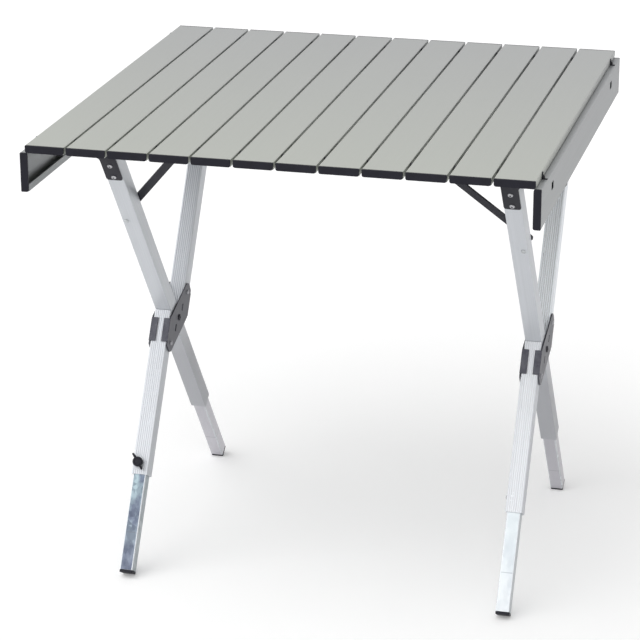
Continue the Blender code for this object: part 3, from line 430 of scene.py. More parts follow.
# Painted shade low on the front frame's tubes, which the top shades.
LOW_PAINTED_SHADE = (0.385, 0.390, 0.415)
FRONT_LEG_METAL = leg_finish(
    "front_leg_satin", FRONT_LEAN, *LEG_COLOURS, 0.42, (LEG_HALF,), painted_low_shade=LOW_PAINTED_SHADE,
)
RIBBED_FACES = (LEG_OFFSET - LEG_HALF, -LEG_OFFSET - LEG_HALF)
REAR_LEG_METAL = leg_finish("rear_leg_satin", REAR_LEAN, *LEG_COLOURS, 0.42, RIBBED_FACES)
PAINTED_LIGHT_LEG_METAL = leg_finish("painted_light_leg_satin", REAR_LEAN, *PAINTED_LIGHT_COLOURS, 0.42, RIBBED_FACES, 0.40)
LEG_RUBBED = leg_finish("leg_rubbed_edge", REAR_LEAN, (0.74, 0.75, 0.77), (0.88, 0.89, 0.90), 0.26)
print(FRONT_LEG_METAL.name, REAR_LEG_METAL.name, PAINTED_LIGHT_LEG_METAL.name, LEG_RUBBED.name)

# %% [markdown]
# ## Zinc on the inner legs
# The tubes that slide inside the legs are steel under bright zinc. Zinc sets in flat crystals, each a
# slightly different blue grey, and it darkens where hands and mud reach it. Voronoi cells are the
# crystals, wide noise is the tarnish, and a scribed line marks how far the leg may be drawn out.

# %% Zinc
SCRIBE_WIDTH = 0.0007
SCRIBE_GREY = (0.16, 0.17, 0.20)
INNER_HALF = 0.0100
# Painted light on the +X side of the near zinc tubes.
ZINC_SIDE_PAINTED_LIGHT = (0.50, 0.54, 0.55)
BLUE_ZINC = ((0.275, 0.350, 0.385), (0.205, 0.230, 0.280), (0.085, 0.098, 0.150))
# Painted light: the near right tube's pale tones stand for the strong light on it.
PAINTED_LIGHT_ZINC = ((0.485, 0.520, 0.535), (0.525, 0.545, 0.560), (0.33, 0.37, 0.42))
GREY_ZINC = ((0.50, 0.495, 0.53), (0.55, 0.54, 0.575), (0.42, 0.42, 0.46))


def zinc_finish(foot, lean, tones, flake, scribe):
    """Zinc that goes from one tone to another at the foot, with more or less crystal and painted light on
    one side.
    """
    high, low, dark = tones
    made = principled("zinc_" + foot, 0.75)
    place = own_place(made, lean)
    along = along_axis(made, place, "Z")
    colour = tinted(made, ranged(made, along, 0.0, 1.0, scribe - 0.05, scribe + 0.07), low, high)
    crystals = cells(made, place, (150.0, 150.0, 110.0))
    tarnish = noise(made, place, (45.0, 45.0, 26.0), 4.0, 0.6)
    fine = noise(made, place, (600.0, 600.0, 20.0))
    colour = tinted(made, ranged(made, crystals, 0.0, flake, 0.0, 1.0), colour, dark)
    colour = tinted(made, ranged(made, tarnish, 0.0, 2.4 * flake, 0.45, 0.62), colour, dark)
    streaks = noise(made, place, (160.0, 160.0, 60.0), 4.0, 0.7)
    colour = tinted(made, ranged(made, streaks, 0.0, 1.5 * flake, 0.58, 0.70), colour, high)
    line = math_step(made, "COMPARE", along, scribe, SCRIBE_WIDTH)
    colour = tinted(made, ranged(made, line, 0.0, 0.45, 0.0, 1.0), colour, SCRIBE_GREY)
    # Painted light: on the near tubes the +X side takes a paler grey of its own.
    middle = PIVOT.x + (LEG_X if foot.endswith("right") else -LEG_X)
    side_light_share = 0.75 if foot.startswith("near") else 0.0
    across = along_axis(made, place, "X", middle)
    side = ranged(made, across, 0.0, side_light_share, INNER_HALF - 0.0009, INNER_HALF - 0.0004)
    colour = tinted(made, side, colour, ZINC_SIDE_PAINTED_LIGHT)
    rough = ranged(made, crystals, 0.30, 0.30 + flake, 0.0, 1.0)
    return set_finish(made, colour, rough, fine, 0.02)


# Painted highlight: a bright finish for the rounded corners of the zinc tubes.
ZINC_PAINTED_HIGHLIGHT = leg_finish("zinc_bright_corner", REAR_LEAN, (0.60, 0.63, 0.66), (0.74, 0.77, 0.80), 0.25)
print("three tones of zinc")

# %% [markdown]
# ## Black steel, plate steel, plastic, cord and rivets
# Brackets, braces and rails are steel under a thin semi-gloss black, chipped along the edges. The
# plates at the crossings are a lighter gunmetal. The plastic is navy black with the fine grain of a
# moulding tool, the cord is braided, and the rivets are bright steel. Each is a short recipe.

# %% Paint, plastic, cord and rivets


def painted_finish(name, deep, pale, roughness, metallic=0.0):
    made = principled(name, metallic, Specular_IOR_Level=0.30)
    place = own_place(made)
    peel = noise(made, place, 750.0)
    dust = noise(made, place, 60.0, 5.0, 0.65)
    colour = tinted(made, ranged(made, dust, 0.0, 1.0, 0.35, 0.75), deep, pale)
    rough = ranged(made, dust, roughness - 0.05, roughness + 0.10)
    return set_finish(made, colour, rough, peel, 0.12)


def chipped_finish(name, paint, bare):
    """Paint on an edge, worn to the metal in spots."""
    made = principled(name, 0.4, 0.4)
    place = own_place(made)
    chips = noise(made, place, 420.0, 4.0, 0.6)
    colour = tinted(made, ranged(made, chips, 0.0, 1.0, 0.50, 0.62), paint, bare)
    return set_finish(made, colour, ranged(made, chips, 0.50, 0.30))


def plastic_finish(name, deep, pale, shine=0.25):
    made = principled(name, 0.0, Specular_IOR_Level=shine)
    place = own_place(made)
    grain = noise(made, place, 2600.0)
    haze = noise(made, place, 85.0, 4.0)
    colour = tinted(made, ranged(made, haze, 0.0, 1.0, 0.35, 0.75), deep, pale)
    return set_finish(made, colour, ranged(made, haze, 0.44, 0.58), grain, 0.16)


def cord_finish(name):
    """Two sets of slanting bands cross as the strands of a braid do."""
    made = principled(name, 0.0, 0.8, Sheen_Weight=0.25, Sheen_Roughness=0.5)
    place = own_place(made)
    strands = []
    for slant in (1.0, -1.0):
        turned = new_node(made, "Mapping", Vector=place, Scale=(1.0, slant, 1.0)).outputs["Vector"]
        band = new_node(made, "TexWave", Vector=turned, Scale=330.0, Distortion=0.4, Detail=1.0)
        band.bands_direction = "DIAGONAL"
        strands.append(band.outputs[0])
    crossed = math_step(made, "MAXIMUM", *strands)
    colour = tinted(made, crossed, (0.006, 0.006, 0.008), (0.026, 0.026, 0.030))
    return set_finish(made, colour, None, crossed, 0.6, 0.0004)


def rivet_finish(name, deep, pale):
    made = principled(name, 0.92)
    place = own_place(made)
    marks = noise(made, place, 520.0, 4.0, 0.65)
    colour = tinted(made, ranged(made, marks, 0.0, 1.0, 0.35, 0.65), deep, pale)
    return set_finish(made, colour, ranged(made, marks, 0.38, 0.20), marks, 0.10)


BLACK_STEEL = painted_finish("black_bracket_paint", (0.008, 0.008, 0.015), (0.016, 0.016, 0.025), 0.42)
BLACK_CHIPPED = chipped_finish("black_chipped_edge", (0.022, 0.022, 0.028), (0.16, 0.16, 0.17))
PLATE_STEEL = painted_finish("gunmetal_plate", (0.050, 0.050, 0.066), (0.120, 0.122, 0.140), 0.38, 0.30)
PLATE_EDGE = chipped_finish("gunmetal_edge", (0.022, 0.022, 0.030), (0.16, 0.16, 0.18))
PLASTIC = plastic_finish("navy_black_plastic", (0.0045, 0.0045, 0.0100), (0.0090, 0.0090, 0.0165))
PLUG_RUBBER = plastic_finish("plug_rubber", (0.0045, 0.0045, 0.0080), (0.0090, 0.0090, 0.0140), 0.0)
CORD = cord_finish("braided_cord")
RIVET_STEEL = rivet_finish("rivet_steel", (0.34, 0.34, 0.36), (0.58, 0.58, 0.60))
DULL_RIVET = rivet_finish("dull_rivet", (0.20, 0.20, 0.22), (0.38, 0.38, 0.40))
TAIL_STEEL = rivet_finish("rivet_tail_steel", (0.42, 0.44, 0.45), (0.58, 0.60, 0.61))
print(BLACK_STEEL.name, PLATE_STEEL.name, PLASTIC.name, CORD.name)

# %% [markdown]
# ## Making and placing pieces
# A piece is shaped in a bmesh, given its finish, and told which body carries it. Sharp edges look
# false, because every real edge catches a thin line of light. A Bevel modifier rounds them, and its
# faces take the second finish, the worn one; on the zinc tubes that finish is a painted highlight.
# Weighted normals keep the wide faces flat between them.

# %% Helpers for the pieces
SHARP_ANGLE = math.radians(38)
SAME = 1e-6
FLAT_ANGLE = math.radians(0.5)
FLAT_FACING = 0.97
ENDS = ((-1, "front"), (1, "rear"))
SIDES = ((-1, "left"), (1, "right"))


def add_piece(name, shape, body, finish, edge=None, bevel=0.0, segments=2, stands_for=()):
    """Make an object of a shape that is drawn in place, finish it, and let it ride on a body."""
    piece = meshed(name, shape, finish, edge or finish)
    if bevel:
        rounding = piece.modifiers.new("eased_edges", "BEVEL")
        rounding.width = bevel
        rounding.segments = segments
        rounding.limit_method = "ANGLE"
        rounding.angle_limit = SHARP_ANGLE
        rounding.material = 1
        rounding.use_clamp_overlap = True
        even = piece.modifiers.new("flat_faces", "WEIGHTED_NORMAL")
        even.keep_sharp = True
    else:
        piece.data.set_sharp_from_angle(angle=SHARP_ANGLE)
    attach(piece, body)
    if stands_for:
        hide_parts(*stands_for)
    return piece


def spun(profile, steps=32):
    """Spin a profile of (radius, height) points once round Z."""
    shape = bmesh.new()
    corners = [shape.verts.new((radius, 0.0, height)) for radius, height in profile]
    edges = [shape.edges.new(pair) for pair in zip(corners, corners[1:])]
    bmesh.ops.spin(
        shape, geom=corners + edges, cent=(0, 0, 0), axis=(0, 0, 1), angle=math.tau,
        steps=steps, use_merge=True,
    )
    bmesh.ops.remove_doubles(shape, verts=shape.verts, dist=SAME)
    bmesh.ops.recalc_face_normals(shape, faces=shape.faces)
    return shape


def rounded(shape, edges, radius, steps):
    """Round some edges of a shape."""
    bmesh.ops.bevel(
        shape, geom=edges, offset=radius, offset_type="OFFSET", segments=steps, profile=0.5,
        affect="EDGES", material=-1,
    )


def drawn_corners(result):
    """The corners that an extrusion has made."""
    return [item for item in result["geom"] if isinstance(item, bmesh.types.BMVert)]


def block(size, centre):
    """A box with its own length, width and height."""
    shape = bmesh.new()
    bmesh.ops.create_cube(shape, size=1.0)
    bmesh.ops.scale(shape, verts=shape.verts, vec=size)
    bmesh.ops.translate(shape, verts=shape.verts, vec=centre)
    return shape


def eased_block(size, centre, radius, steps=2):
    """A box with all its edges rounded."""
    shape = block(size, centre)
    rounded(shape, shape.edges[:], radius, steps)
    return shape


def gathered(shapes):
    """Several shapes as one."""
    made = bmesh.new()
    for shape in shapes:
        mesh = bpy.data.meshes.new("copy")
        shape.to_mesh(mesh)
        shape.free()
        made.from_mesh(mesh)
        bpy.data.meshes.remove(mesh)
    return made


def pointing(place, direction):
    """Stand a shape drawn along +Z at a place, along a direction."""
    turn = Vector((0, 0, 1)).rotation_difference(Vector(direction)).to_matrix().to_4x4()
    return Matrix.Translation(place) @ turn


def stand_in(node, shape, finish, edge=None, bevel=0.0, segments=2):
    """Let a shape stand for a CAD solid, on the solid's own body."""
    add_piece(node + "_finished", shape, BODY_OF[node], finish, edge, bevel, segments, (node,))


def refined(node, finish, edge, bevel, slot, segments=2, lean=None):
    """A copy of a CAD solid with whole flat faces, rounded edges and a finish.

    Where the lean of a tube is given, its rounded corners take the edge's finish, on zinc a painted
    highlight.
    """
    shape = bmesh.new()
    shape.from_mesh(NODES[node].data)
    bmesh.ops.remove_doubles(shape, verts=shape.verts, dist=SAME)
    bmesh.ops.dissolve_limit(shape, angle_limit=FLAT_ANGLE, verts=shape.verts, edges=shape.edges)
    if lean is not None:
        shape.normal_update()
        back = Matrix.Rotation(-lean, 3, "X")
        for face in shape.faces:
            facing = back @ face.normal
            face.material_index = int(max(abs(part) for part in facing) < FLAT_FACING)
    stand_in(node, shape, finish, edge, bevel, segments)


BODY_OF = {}
for body, empty in frame["bodies"].items():
    for child in empty.children:
        BODY_OF[child.name] = body

# %% [markdown]
# ## The slats
# A slat is a thin metal strip folded into a shallow channel, open below between two lips. It could be
# cut from a block, but folding a strip is how the shape comes about: six points are drawn out along
# the slat, the four bends are rounded, and Solidify gives the wall. The holes for the cords are cut
# while it is still a thin sheet, where a cut is only a few new edges.

# %% Slat channels
SLAT_WIDTH = 0.055
SLAT_THICKNESS = 0.0105
SLAT_WALL = 0.0013
SLAT_LIP = 0.010
BEND_RADIUS = 0.0010
TABLE_HALF = 0.34925
UNDERSIDE = 0.6880
CAP_FLANGE = 0.0028
CORD_Y = 0.30125
CORD_Z = 0.69325
SLOT_REACH = (0.0, 0.0018, 0.0035)
WINDOW_X = -0.0075
WINDOW_Y = 0.26125
WINDOW_REACH = (0.0055, 0.0075, 0.0)
CUT_BAND = 0.06


def cut_across(shape, faces, axis, level):
    """Cut some faces of a sheet where a coordinate has a value."""
    normal = Vector((0.0, 0.0, 0.0))
    normal[axis] = 1.0
    edges = {edge for face in faces for edge in face.edges}
    corners = {corner for face in faces for corner in face.verts}
    cut = [*faces, *edges, *corners]
    bmesh.ops.bisect_plane(shape, geom=cut, plane_co=level * normal, plane_no=normal, dist=1e-7)


def faces_near(shape, middle, reach):
    """The faces of a sheet whose own middle lies in a box, given by its middle and its reach."""
    def inside(place):
        return all(abs(part - centre) <= far + SAME for part, centre, far in zip(place, middle, reach))

    return [face for face in shape.faces if inside(face.calc_center_median())]


def cut_hole(shape, middle, reach, across):
    """Open a rectangle in a flat part of the sheet, about its middle."""
    for level in (middle[1] - reach[1], middle[1] + reach[1]):
        cut_across(shape, shape.faces[:], 1, level)
    band = list(reach)
    band[across] += CUT_BAND
    for level in (middle[across] - reach[across], middle[across] + reach[across]):
        cut_across(shape, faces_near(shape, middle, band), across, level)
    bmesh.ops.delete(shape, geom=faces_near(shape, middle, reach), context="FACES_ONLY")


def runs_along(edge):
    """Whether an edge runs along the slat."""
    offset = edge.verts[0].co - edge.verts[1].co
    return abs(offset.x) < SAME and abs(offset.z) < SAME


def channel(side_walls, windows):
    """The folded strip of a slat about its own middle, with its holes, before it has a wall."""
    shape = bmesh.new()
    half, mouth, top = SLAT_WIDTH / 2, SLAT_WIDTH / 2 - SLAT_LIP, SLAT_THICKNESS
    length = TABLE_HALF - CAP_FLANGE
    profile = [(-mouth, 0), (-half, 0), (-half, top), (half, top), (half, 0), (mouth, 0)]
    corners = [shape.verts.new((x, -length, z)) for x, z in profile]
    edges = [shape.edges.new(pair) for pair in zip(corners, corners[1:])]
    moved = drawn_corners(bmesh.ops.extrude_edge_only(shape, edges=edges))
    bmesh.ops.translate(shape, verts=moved, vec=(0, 2 * length, 0))
    for end in (-1, 1):
        for wall in side_walls:
            cut_hole(shape, (wall * half, end * CORD_Y, top / 2), SLOT_REACH, 2)
        if windows:
            cut_hole(shape, (WINDOW_X, end * WINDOW_Y, top), WINDOW_REACH, 0)
    bends = []
    for edge in shape.edges:
        x, z = abs(edge.verts[0].co.x), edge.verts[0].co.z
        if runs_along(edge) and abs(x - half) < SAME and min(abs(z), abs(z - top)) < SAME:
            bends.append(edge)
    rounded(shape, bends, BEND_RADIUS, 3)
    bmesh.ops.recalc_face_normals(shape, faces=shape.faces)
    roof = max(shape.faces, key=lambda face: face.calc_center_median().z)
    if roof.normal.z < 0:
        bmesh.ops.reverse_faces(shape, faces=shape.faces)
    return shape


def add_channel(name, shape, body, node, finish=SLAT_METAL):
    """Give a folded strip its wall and its finish."""
    piece = add_piece(name, shape, body, finish, SLAT_RUBBED, 0.00022, 2, (node,))
    wall = piece.modifiers.new("wall", "SOLIDIFY")
    wall.thickness = SLAT_WALL
    wall.offset = -1.0
    wall.use_even_offset = True
    piece.modifiers.move(piece.modifiers.find("wall"), 0)


def slat_place(index):
    """Where a slat lies, counted from 1 on the left."""
    x = -SLAT_EDGE_X + SLAT_WIDTH / 2 + (index - 1) * SLAT_PITCH
    return Matrix.Translation((x, 0, UNDERSIDE))


for index in range(1, 13):
    strip = channel((-1, 1), False)
    strip.transform(slat_place(index))
    add_channel("slat_channel_%02d" % index, strip, "tabletop", "slat_%02d" % index)
print("12 slats")

# %% [markdown]
# ## The end caps
# A black moulding closes each end of a slat: a flange that shows, with round lower corners, and a
# tongue that grips inside the channel. It starts as a flat box; the corners are bevelled one pair at a
# time because their radii differ, and the tongue is the back face, inset and drawn inwards.

# %% Caps
CAP_CORNER = 0.0030
CAP_EDGE = 0.0009
CAP_STEP = 0.0017
CAP_TONGUE = 0.004


def corner_edges(shape, low):
    """The edges of a cap that run along the slat, at its lower corners or at its upper ones."""
    half = SLAT_THICKNESS / 2
    return [edge for edge in shape.edges if runs_along(edge) and (edge.verts[0].co.z < half) == low]


def cap(end):
    """A cap in the end of a slat that lies about its own middle."""
    middle = (0, end * (TABLE_HALF - CAP_FLANGE / 2), SLAT_THICKNESS / 2)
    shape = block((SLAT_WIDTH, CAP_FLANGE, SLAT_THICKNESS), middle)
    rounded(shape, corner_edges(shape, True), CAP_CORNER, 5)
    rounded(shape, corner_edges(shape, False), CAP_EDGE, 3)
    shape.normal_update()
    back = max(shape.faces, key=lambda face: -end * face.normal.y)
    bmesh.ops.inset_region(shape, faces=[back], thickness=CAP_STEP, depth=0.0)
    moved = drawn_corners(bmesh.ops.extrude_face_region(shape, geom=[back]))
    bmesh.ops.translate(shape, verts=moved, vec=(0, -end * CAP_TONGUE, 0))
    bmesh.ops.delete(shape, geom=[back], context="FACES_ONLY")
    bmesh.ops.recalc_face_normals(shape, faces=shape.faces)
    return shape


def add_cap(name, shape, body):
    add_piece(name, shape, body, PLASTIC, bevel=0.0004, segments=3)


for index in range(1, 13):
    for end, label in ENDS:
        shape = cap(end)
        shape.transform(slat_place(index))
        add_cap("slat_cap_%s_%02d" % (label, index), shape, "tabletop")
print("24 caps")

# %% [markdown]
# ## The hanging end slats
# At each end one more slat hangs from the cords. It is the same channel, turned down from level, with
# its cords entering the upper side and a small black plug filling a window in the outer face, where
# the cord is made fast. The left one is the mirror image of the right one, so its faces are turned
# back outwards after the mirror.

# %% End slats
HINGE_X = 0.3495
HINGE_Z = 0.69095
SLAT_GAP = 0.0035
PLUG_SINK = 0.0001
PLUG_SLACK = 0.0003
PLUG_DEPTH = 0.0062
PLUG_RIM = 0.0009
PLUG_HOLLOW = 0.0004


def leaf_place(side):
    """An end slat hanging from the edge of the top, folded down from level with it."""
    hinge = Vector((HINGE_X, 0, HINGE_Z))
    level = Vector((SLAT_EDGE_X + SLAT_GAP + SLAT_WIDTH / 2, 0, UNDERSIDE))
    place = Matrix.Translation(hinge) @ Matrix.Rotation(math.pi / 2, 4, "Y")
    place = place @ Matrix.Translation(level - hinge)
    return place if side > 0 else Matrix.Diagonal((-1, 1, 1, 1)) @ place


def placed_leaf(shape, side):
    """Carry a shape that was drawn about a slat's middle to an end slat."""
    shape.transform(leaf_place(side))
    if side < 0:
        bmesh.ops.reverse_faces(shape, faces=shape.faces)
    return shape


def cord_plug(end):
    """The moulded plug in a window, with a face that is sunk inside a narrow rim."""
    middle = (WINDOW_X, end * WINDOW_Y, SLAT_THICKNESS - PLUG_SINK - PLUG_DEPTH / 2)
    width, length = [2 * reach - PLUG_SLACK for reach in WINDOW_REACH[:2]]
    shape = block((width, length, PLUG_DEPTH), middle)
    shape.normal_update()
    face = max(shape.faces, key=lambda one: one.normal.z)
    bmesh.ops.inset_region(shape, faces=[face], thickness=PLUG_RIM, depth=0.0)
    bmesh.ops.translate(shape, verts=face.verts, vec=(0, 0, -PLUG_HOLLOW))
    return shape


for side, label in SIDES:
    node = label + "_leaf"
    add_channel(node + "_channel", placed_leaf(channel((-1,), True), side), node, node, LEAF_METAL_PAINTED_SHADE)
    for end, place in ENDS:
        add_cap("%s_cap_%s" % (node, place), placed_leaf(cap(end), side), node)
        plug = placed_leaf(cord_plug(end), side)
        add_piece("%s_plug_%s" % (node, place), plug, node, PLUG_RUBBER, bevel=0.0004)
print("end slats with caps and plugs")

# %% [markdown]
# ## The elastic cords
# Two elastic cords run through the side walls of all the slats and turn down into the end slats. At
# each end the cord bends when the end slat is raised, so the straight run is a plain bar, and the
# elbow is a piece of its own, drawn in place and carried by no body.

# %% Cords
CORD_RADIUS = 0.0015
ELBOW_RADIUS = 0.0026
ELBOW_LEAD = 0.004
ELBOW_TAIL = 0.012
LEAF_MIDDLE_X = 0.3518
CORD_SIDES = 16
TAB_SIZE = (0.0014, 0.0040, 0.0092)
LEDGE_SIZE = (0.0012, 0.0040, 0.0070)
LEDGE_X = -SLAT_WIDTH / 2 - 0.0005
LEDGE_Z = 0.0066
CORD_HALF = SLAT_EDGE_X - 0.0005
SPACER_SIZE = (SLAT_GAP - 0.0005, 0.0088, 0.0074)


def straight_cord(y):
    """A round bar from the first slat to the last."""
    shape = bmesh.new()
    bmesh.ops.create_cone(
        shape, cap_ends=True, segments=CORD_SIDES, radius1=CORD_RADIUS, radius2=CORD_RADIUS,
        depth=2 * CORD_HALF,
    )
    shape.transform(pointing(Vector((0, y, CORD_Z)), (1, 0, 0)))
    return shape


def cord_elbow(side, y):
    """The cord from the side of the top, round a quarter turn and down into the end slat."""
    shape = bmesh.new()
    bmesh.ops.create_circle(shape, cap_ends=False, segments=CORD_SIDES, radius=CORD_RADIUS)
    start = Vector((LEAF_MIDDLE_X - ELBOW_RADIUS - ELBOW_LEAD, y, CORD_Z))
    shape.transform(pointing(start, (1, 0, 0)))
    ring = drawn_corners(bmesh.ops.extrude_edge_only(shape, edges=shape.edges[:]))
    bmesh.ops.translate(shape, verts=ring, vec=(ELBOW_LEAD, 0, 0))
    loop = [edge for edge in shape.edges if all(corner in ring for corner in edge.verts)]
    turned = bmesh.ops.spin(
        shape, geom=ring + loop, cent=(LEAF_MIDDLE_X - ELBOW_RADIUS, y, CORD_Z - ELBOW_RADIUS),
        axis=(0, 1, 0), angle=math.pi / 2, steps=12, use_merge=False,
    )
    last = [item for item in turned["geom_last"] if isinstance(item, bmesh.types.BMEdge)]
    ring = drawn_corners(bmesh.ops.extrude_edge_only(shape, edges=last))
    bmesh.ops.translate(shape, verts=ring, vec=(0, 0, -ELBOW_TAIL))
    bmesh.ops.remove_doubles(shape, verts=shape.verts, dist=SAME)
    bmesh.ops.holes_fill(shape, edges=[edge for edge in shape.edges if edge.is_boundary])
    if side < 0:
        shape.transform(Matrix.Diagonal((-1, 1, 1, 1)))
    bmesh.ops.recalc_face_normals(shape, faces=shape.faces)
    return shape


def add_moulding(name, shape, body):
    add_piece(name, shape, body, PLASTIC)


def add_elbow(side, way, label, y):
    """The bent stretch of a cord, drawn in place and carried by no body."""
    elbow = meshed("cord_elbow_%s_%s" % (way, label), cord_elbow(side, y), CORD)
    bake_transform(elbow)


for end, label in ENDS:
    y = end * CORD_Y
    node = "elastic_cord_" + label
    run = straight_cord(y)
    add_piece("cord_run_" + label, run, "tabletop", CORD, stands_for=(node,))
    for side, way in SIDES:
        add_elbow(side, way, label, y)
        tab = eased_block(TAB_SIZE, (side * (SLAT_EDGE_X + TAB_SIZE[0] / 2), y, CORD_Z), 0.0005)
        add_moulding("cord_tab_%s_%s" % (way, label), tab, "tabletop")
        ledge = eased_block(LEDGE_SIZE, (LEDGE_X, y, LEDGE_Z), 0.0004)
        add_moulding("cord_ledge_%s_%s" % (way, label), placed_leaf(ledge, side), way + "_leaf")
    spacers = []
    for gap in range(1, 12):
        x = -SLAT_EDGE_X + gap * SLAT_PITCH - SLAT_GAP / 2
        spacers.append(eased_block(SPACER_SIZE, (x, y, CORD_Z), 0.0008))
    add_moulding("cord_spacers_" + label, gathered(spacers), "tabletop")
print("2 cords, 4 elbows, 22 spacers")

# %% [markdown]
# ## Legs, rails, brackets, braces and plates
# These solids already have the right shape: extruded tubes with fine grooves, folded sheet, flat bar.
# Building them again would only risk a misfit, so each is copied, its triangles are merged into whole
# faces, and its edges are eased by the small radius that cutting and drawing leave.

# %% Finished copies of the solids
for side in ("left", "right"):
    refined("front_leg_" + side, FRONT_LEG_METAL, LEG_RUBBED, 0.0002, "leg_aluminium")
    # The right rear upper tube stands in the shade of the top, and its copy has painted light.
    shade = {"left": REAR_LEG_METAL, "right": PAINTED_LIGHT_LEG_METAL}[side]
    refined("rear_upper_leg_" + side, shade, LEG_RUBBED, 0.0002, "leg_aluminium")
    refined("rear_lower_leg_" + side, REAR_LEG_METAL, LEG_RUBBED, 0.0002, "leg_aluminium")
    for face in ("inner", "outer"):
        refined("pivot_plate_%s_%s" % (side, face), PLATE_STEEL, PLATE_EDGE, 0.0004, "black_steel")
    for end in ("front", "rear"):
        black = (BLACK_STEEL, BLACK_CHIPPED)
        refined("%s_bracket_%s" % (end, side), *black, 0.0004, "black_steel")
        refined("%s_brace_%s" % (end, side), *black, 0.0005, "black_steel")
        refined("%s_rail_cap_%s" % (end, side), PLASTIC, PLASTIC, 0.0005, "black_plastic", 3)
        refined("rail_clip_%s_%s" % (end, side), PLASTIC, PLASTIC, 0.0003, "black_plastic")
for node in ("front_rail", "rear_rail"):
    refined(node, BLACK_STEEL, BLACK_CHIPPED, 0.0003, "black_steel")
print("copies ride on", sorted(set(BODY_OF.values())))

# %% [markdown]
# ## The telescopic feet
# Each foot is a zinc-plated inner tube with a black plastic cap. The tone of zinc differs from leg to
# leg, because plating and wear do, so each inner tube has its own mix and its own scribed line. Only
# the pale mix of the near right tube is painted light.

# %% Feet
SCRIBE_HEIGHT = 0.0515
FOOT_TONES = {
    "near_left": (REAR_LEAN, BLUE_ZINC, 0.34),
    # The pale mix of the near right tube is painted light.
    "near_right": (REAR_LEAN, PAINTED_LIGHT_ZINC, 0.12),
    "back_left": (FRONT_LEAN, GREY_ZINC, 0.04),
    "back_right": (FRONT_LEAN, GREY_ZINC, 0.04),
}


def foot_along(foot, lean):
    """The middle of a foot's cap, measured along its leg."""
    low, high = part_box(foot + "_foot_cap")
    middle = (Vector(low) + Vector(high)) / 2
    return (Matrix.Rotation(-lean, 3, "X") @ middle).z


for foot, (lean, tones, flake) in FOOT_TONES.items():
    scribe = foot_along(foot, lean) + SCRIBE_HEIGHT
    zinc = zinc_finish(foot, lean, tones, flake, scribe)
    refined(foot + "_leg", zinc, ZINC_PAINTED_HIGHLIGHT, 0.0002, "zinc_steel", lean=lean)
    refined(foot + "_foot_cap", PLASTIC, PLASTIC, 0.0011, "black_plastic", 3)
    print(foot, "line at", round(scribe, 4))

# %% [markdown]
# ## Where the rivets are
# Rivets hold each bracket to its leg and rail, each brace at both ends, and each plate at both tips.
# Their places follow from the lean of the legs, so a little geometry finds them: a leg's own plane,
# and the fold where flat metal on a leg turns upright onto the rail.

# %% Leg planes and folds
CLEARANCE = 0.0003
RAIL_BOTTOM = 0.6657
RAIL_DEPTH = 0.026
BRACKET_SHEET = 0.002
BRACE_SHEET = 0.003
BRACE_DROP = 0.1640
BRACE_ASIDE = 0.0060


class LegPlane:
    """The plane of a leg: x across, y square to the leg and z along it, from the pivot."""

    def __init__(self, lean, outer, inward):
        self.lean = lean
        self.outer = outer
        self.inner = outer + inward * 2 * LEG_HALF
        self.inward = inward
        self.place = Matrix.Translation(PIVOT) @ Matrix.Rotation(lean, 4, "X")

    def world(self, x, y, z):
        return self.place @ Vector((x, y, z))

    def direction(self, y):
        """Which way the y axis of the plane points, or its opposite."""
        return self.place.to_3x3() @ Vector((0, y, 0))

    def outer_fold(self):
        """Where a bracket turns upright: its y in the plane, and its distance along the leg."""
        y = self.outer - self.inward * CLEARANCE
        return y, (RAIL_BOTTOM - PIVOT.z - y * math.sin(self.lean)) / math.cos(self.lean)

    def inner_fold(self):
        """Where a brace turns upright, on the inner side."""
        rail = self.world(0, *self.outer_fold()).y + self.inward * (RAIL_DEPTH + 2 * CLEARANCE)
        y = self.inner + self.inward * CLEARANCE
        return y, (PIVOT.y + y * math.cos(self.lean) - rail) / math.sin(self.lean)


FRONT = LegPlane(FRONT_LEAN, -LEG_HALF, 1)
REAR = LegPlane(REAR_LEAN, LEG_OFFSET + LEG_HALF, -1)
print("folds", FRONT.outer_fold(), REAR.outer_fold())

# %% [markdown]
# ## The rivets
# A blind rivet has a flat dome with a hole in the middle, where the broken pin sits. Spinning its
# profile gives all of that at once, and costs few faces. The far ends of the long rivets are a plain
# low dome. They are gathered by body, because rivets that move together are one piece.

# %% Rivets
RIVET_RADIUS = 0.0038
RIVET_HEIGHT = 0.00175
TAIL_RADIUS = 0.0037
TAIL_HEIGHT = 0.0019
BRACKET_RIVETS = (0.0305, 0.0560)
ARM_RIVET_X = 0.0300
ARM_RIVET_RISE = 0.0105
BRACE_LEAN = 0.7235
BRACE_RISE = 0.007
PLATE_SHEET = 0.002
PLATE_RIVET_Y = 0.024
PLATE_RIVET_Z = 0.045


def rivet_head():
    r, h = RIVET_RADIUS, RIVET_HEIGHT
    return spun([
        (0, 0.74 * h), (0.15 * r, 0.70 * h), (0.25 * r, 0.36 * h), (0.33 * r, 0.44 * h),
        (0.38 * r, 0.92 * h), (0.50 * r, h), (0.72 * r, 0.86 * h), (0.90 * r, 0.52 * h),
        (r, 0.16 * h), (r, -CLEARANCE), (0, -CLEARANCE),
    ], 28)


def rivet_tail():
    r, h = TAIL_RADIUS, TAIL_HEIGHT
    return spun([
        (0, 0.84 * h), (0.45 * r, 0.84 * h), (0.55 * r, 0.97 * h), (0.70 * r, h), (0.84 * r, 0.85 * h),
        (0.95 * r, 0.5 * h), (r, 0.1 * h), (r, -CLEARANCE), (0, -CLEARANCE),
    ], 24)


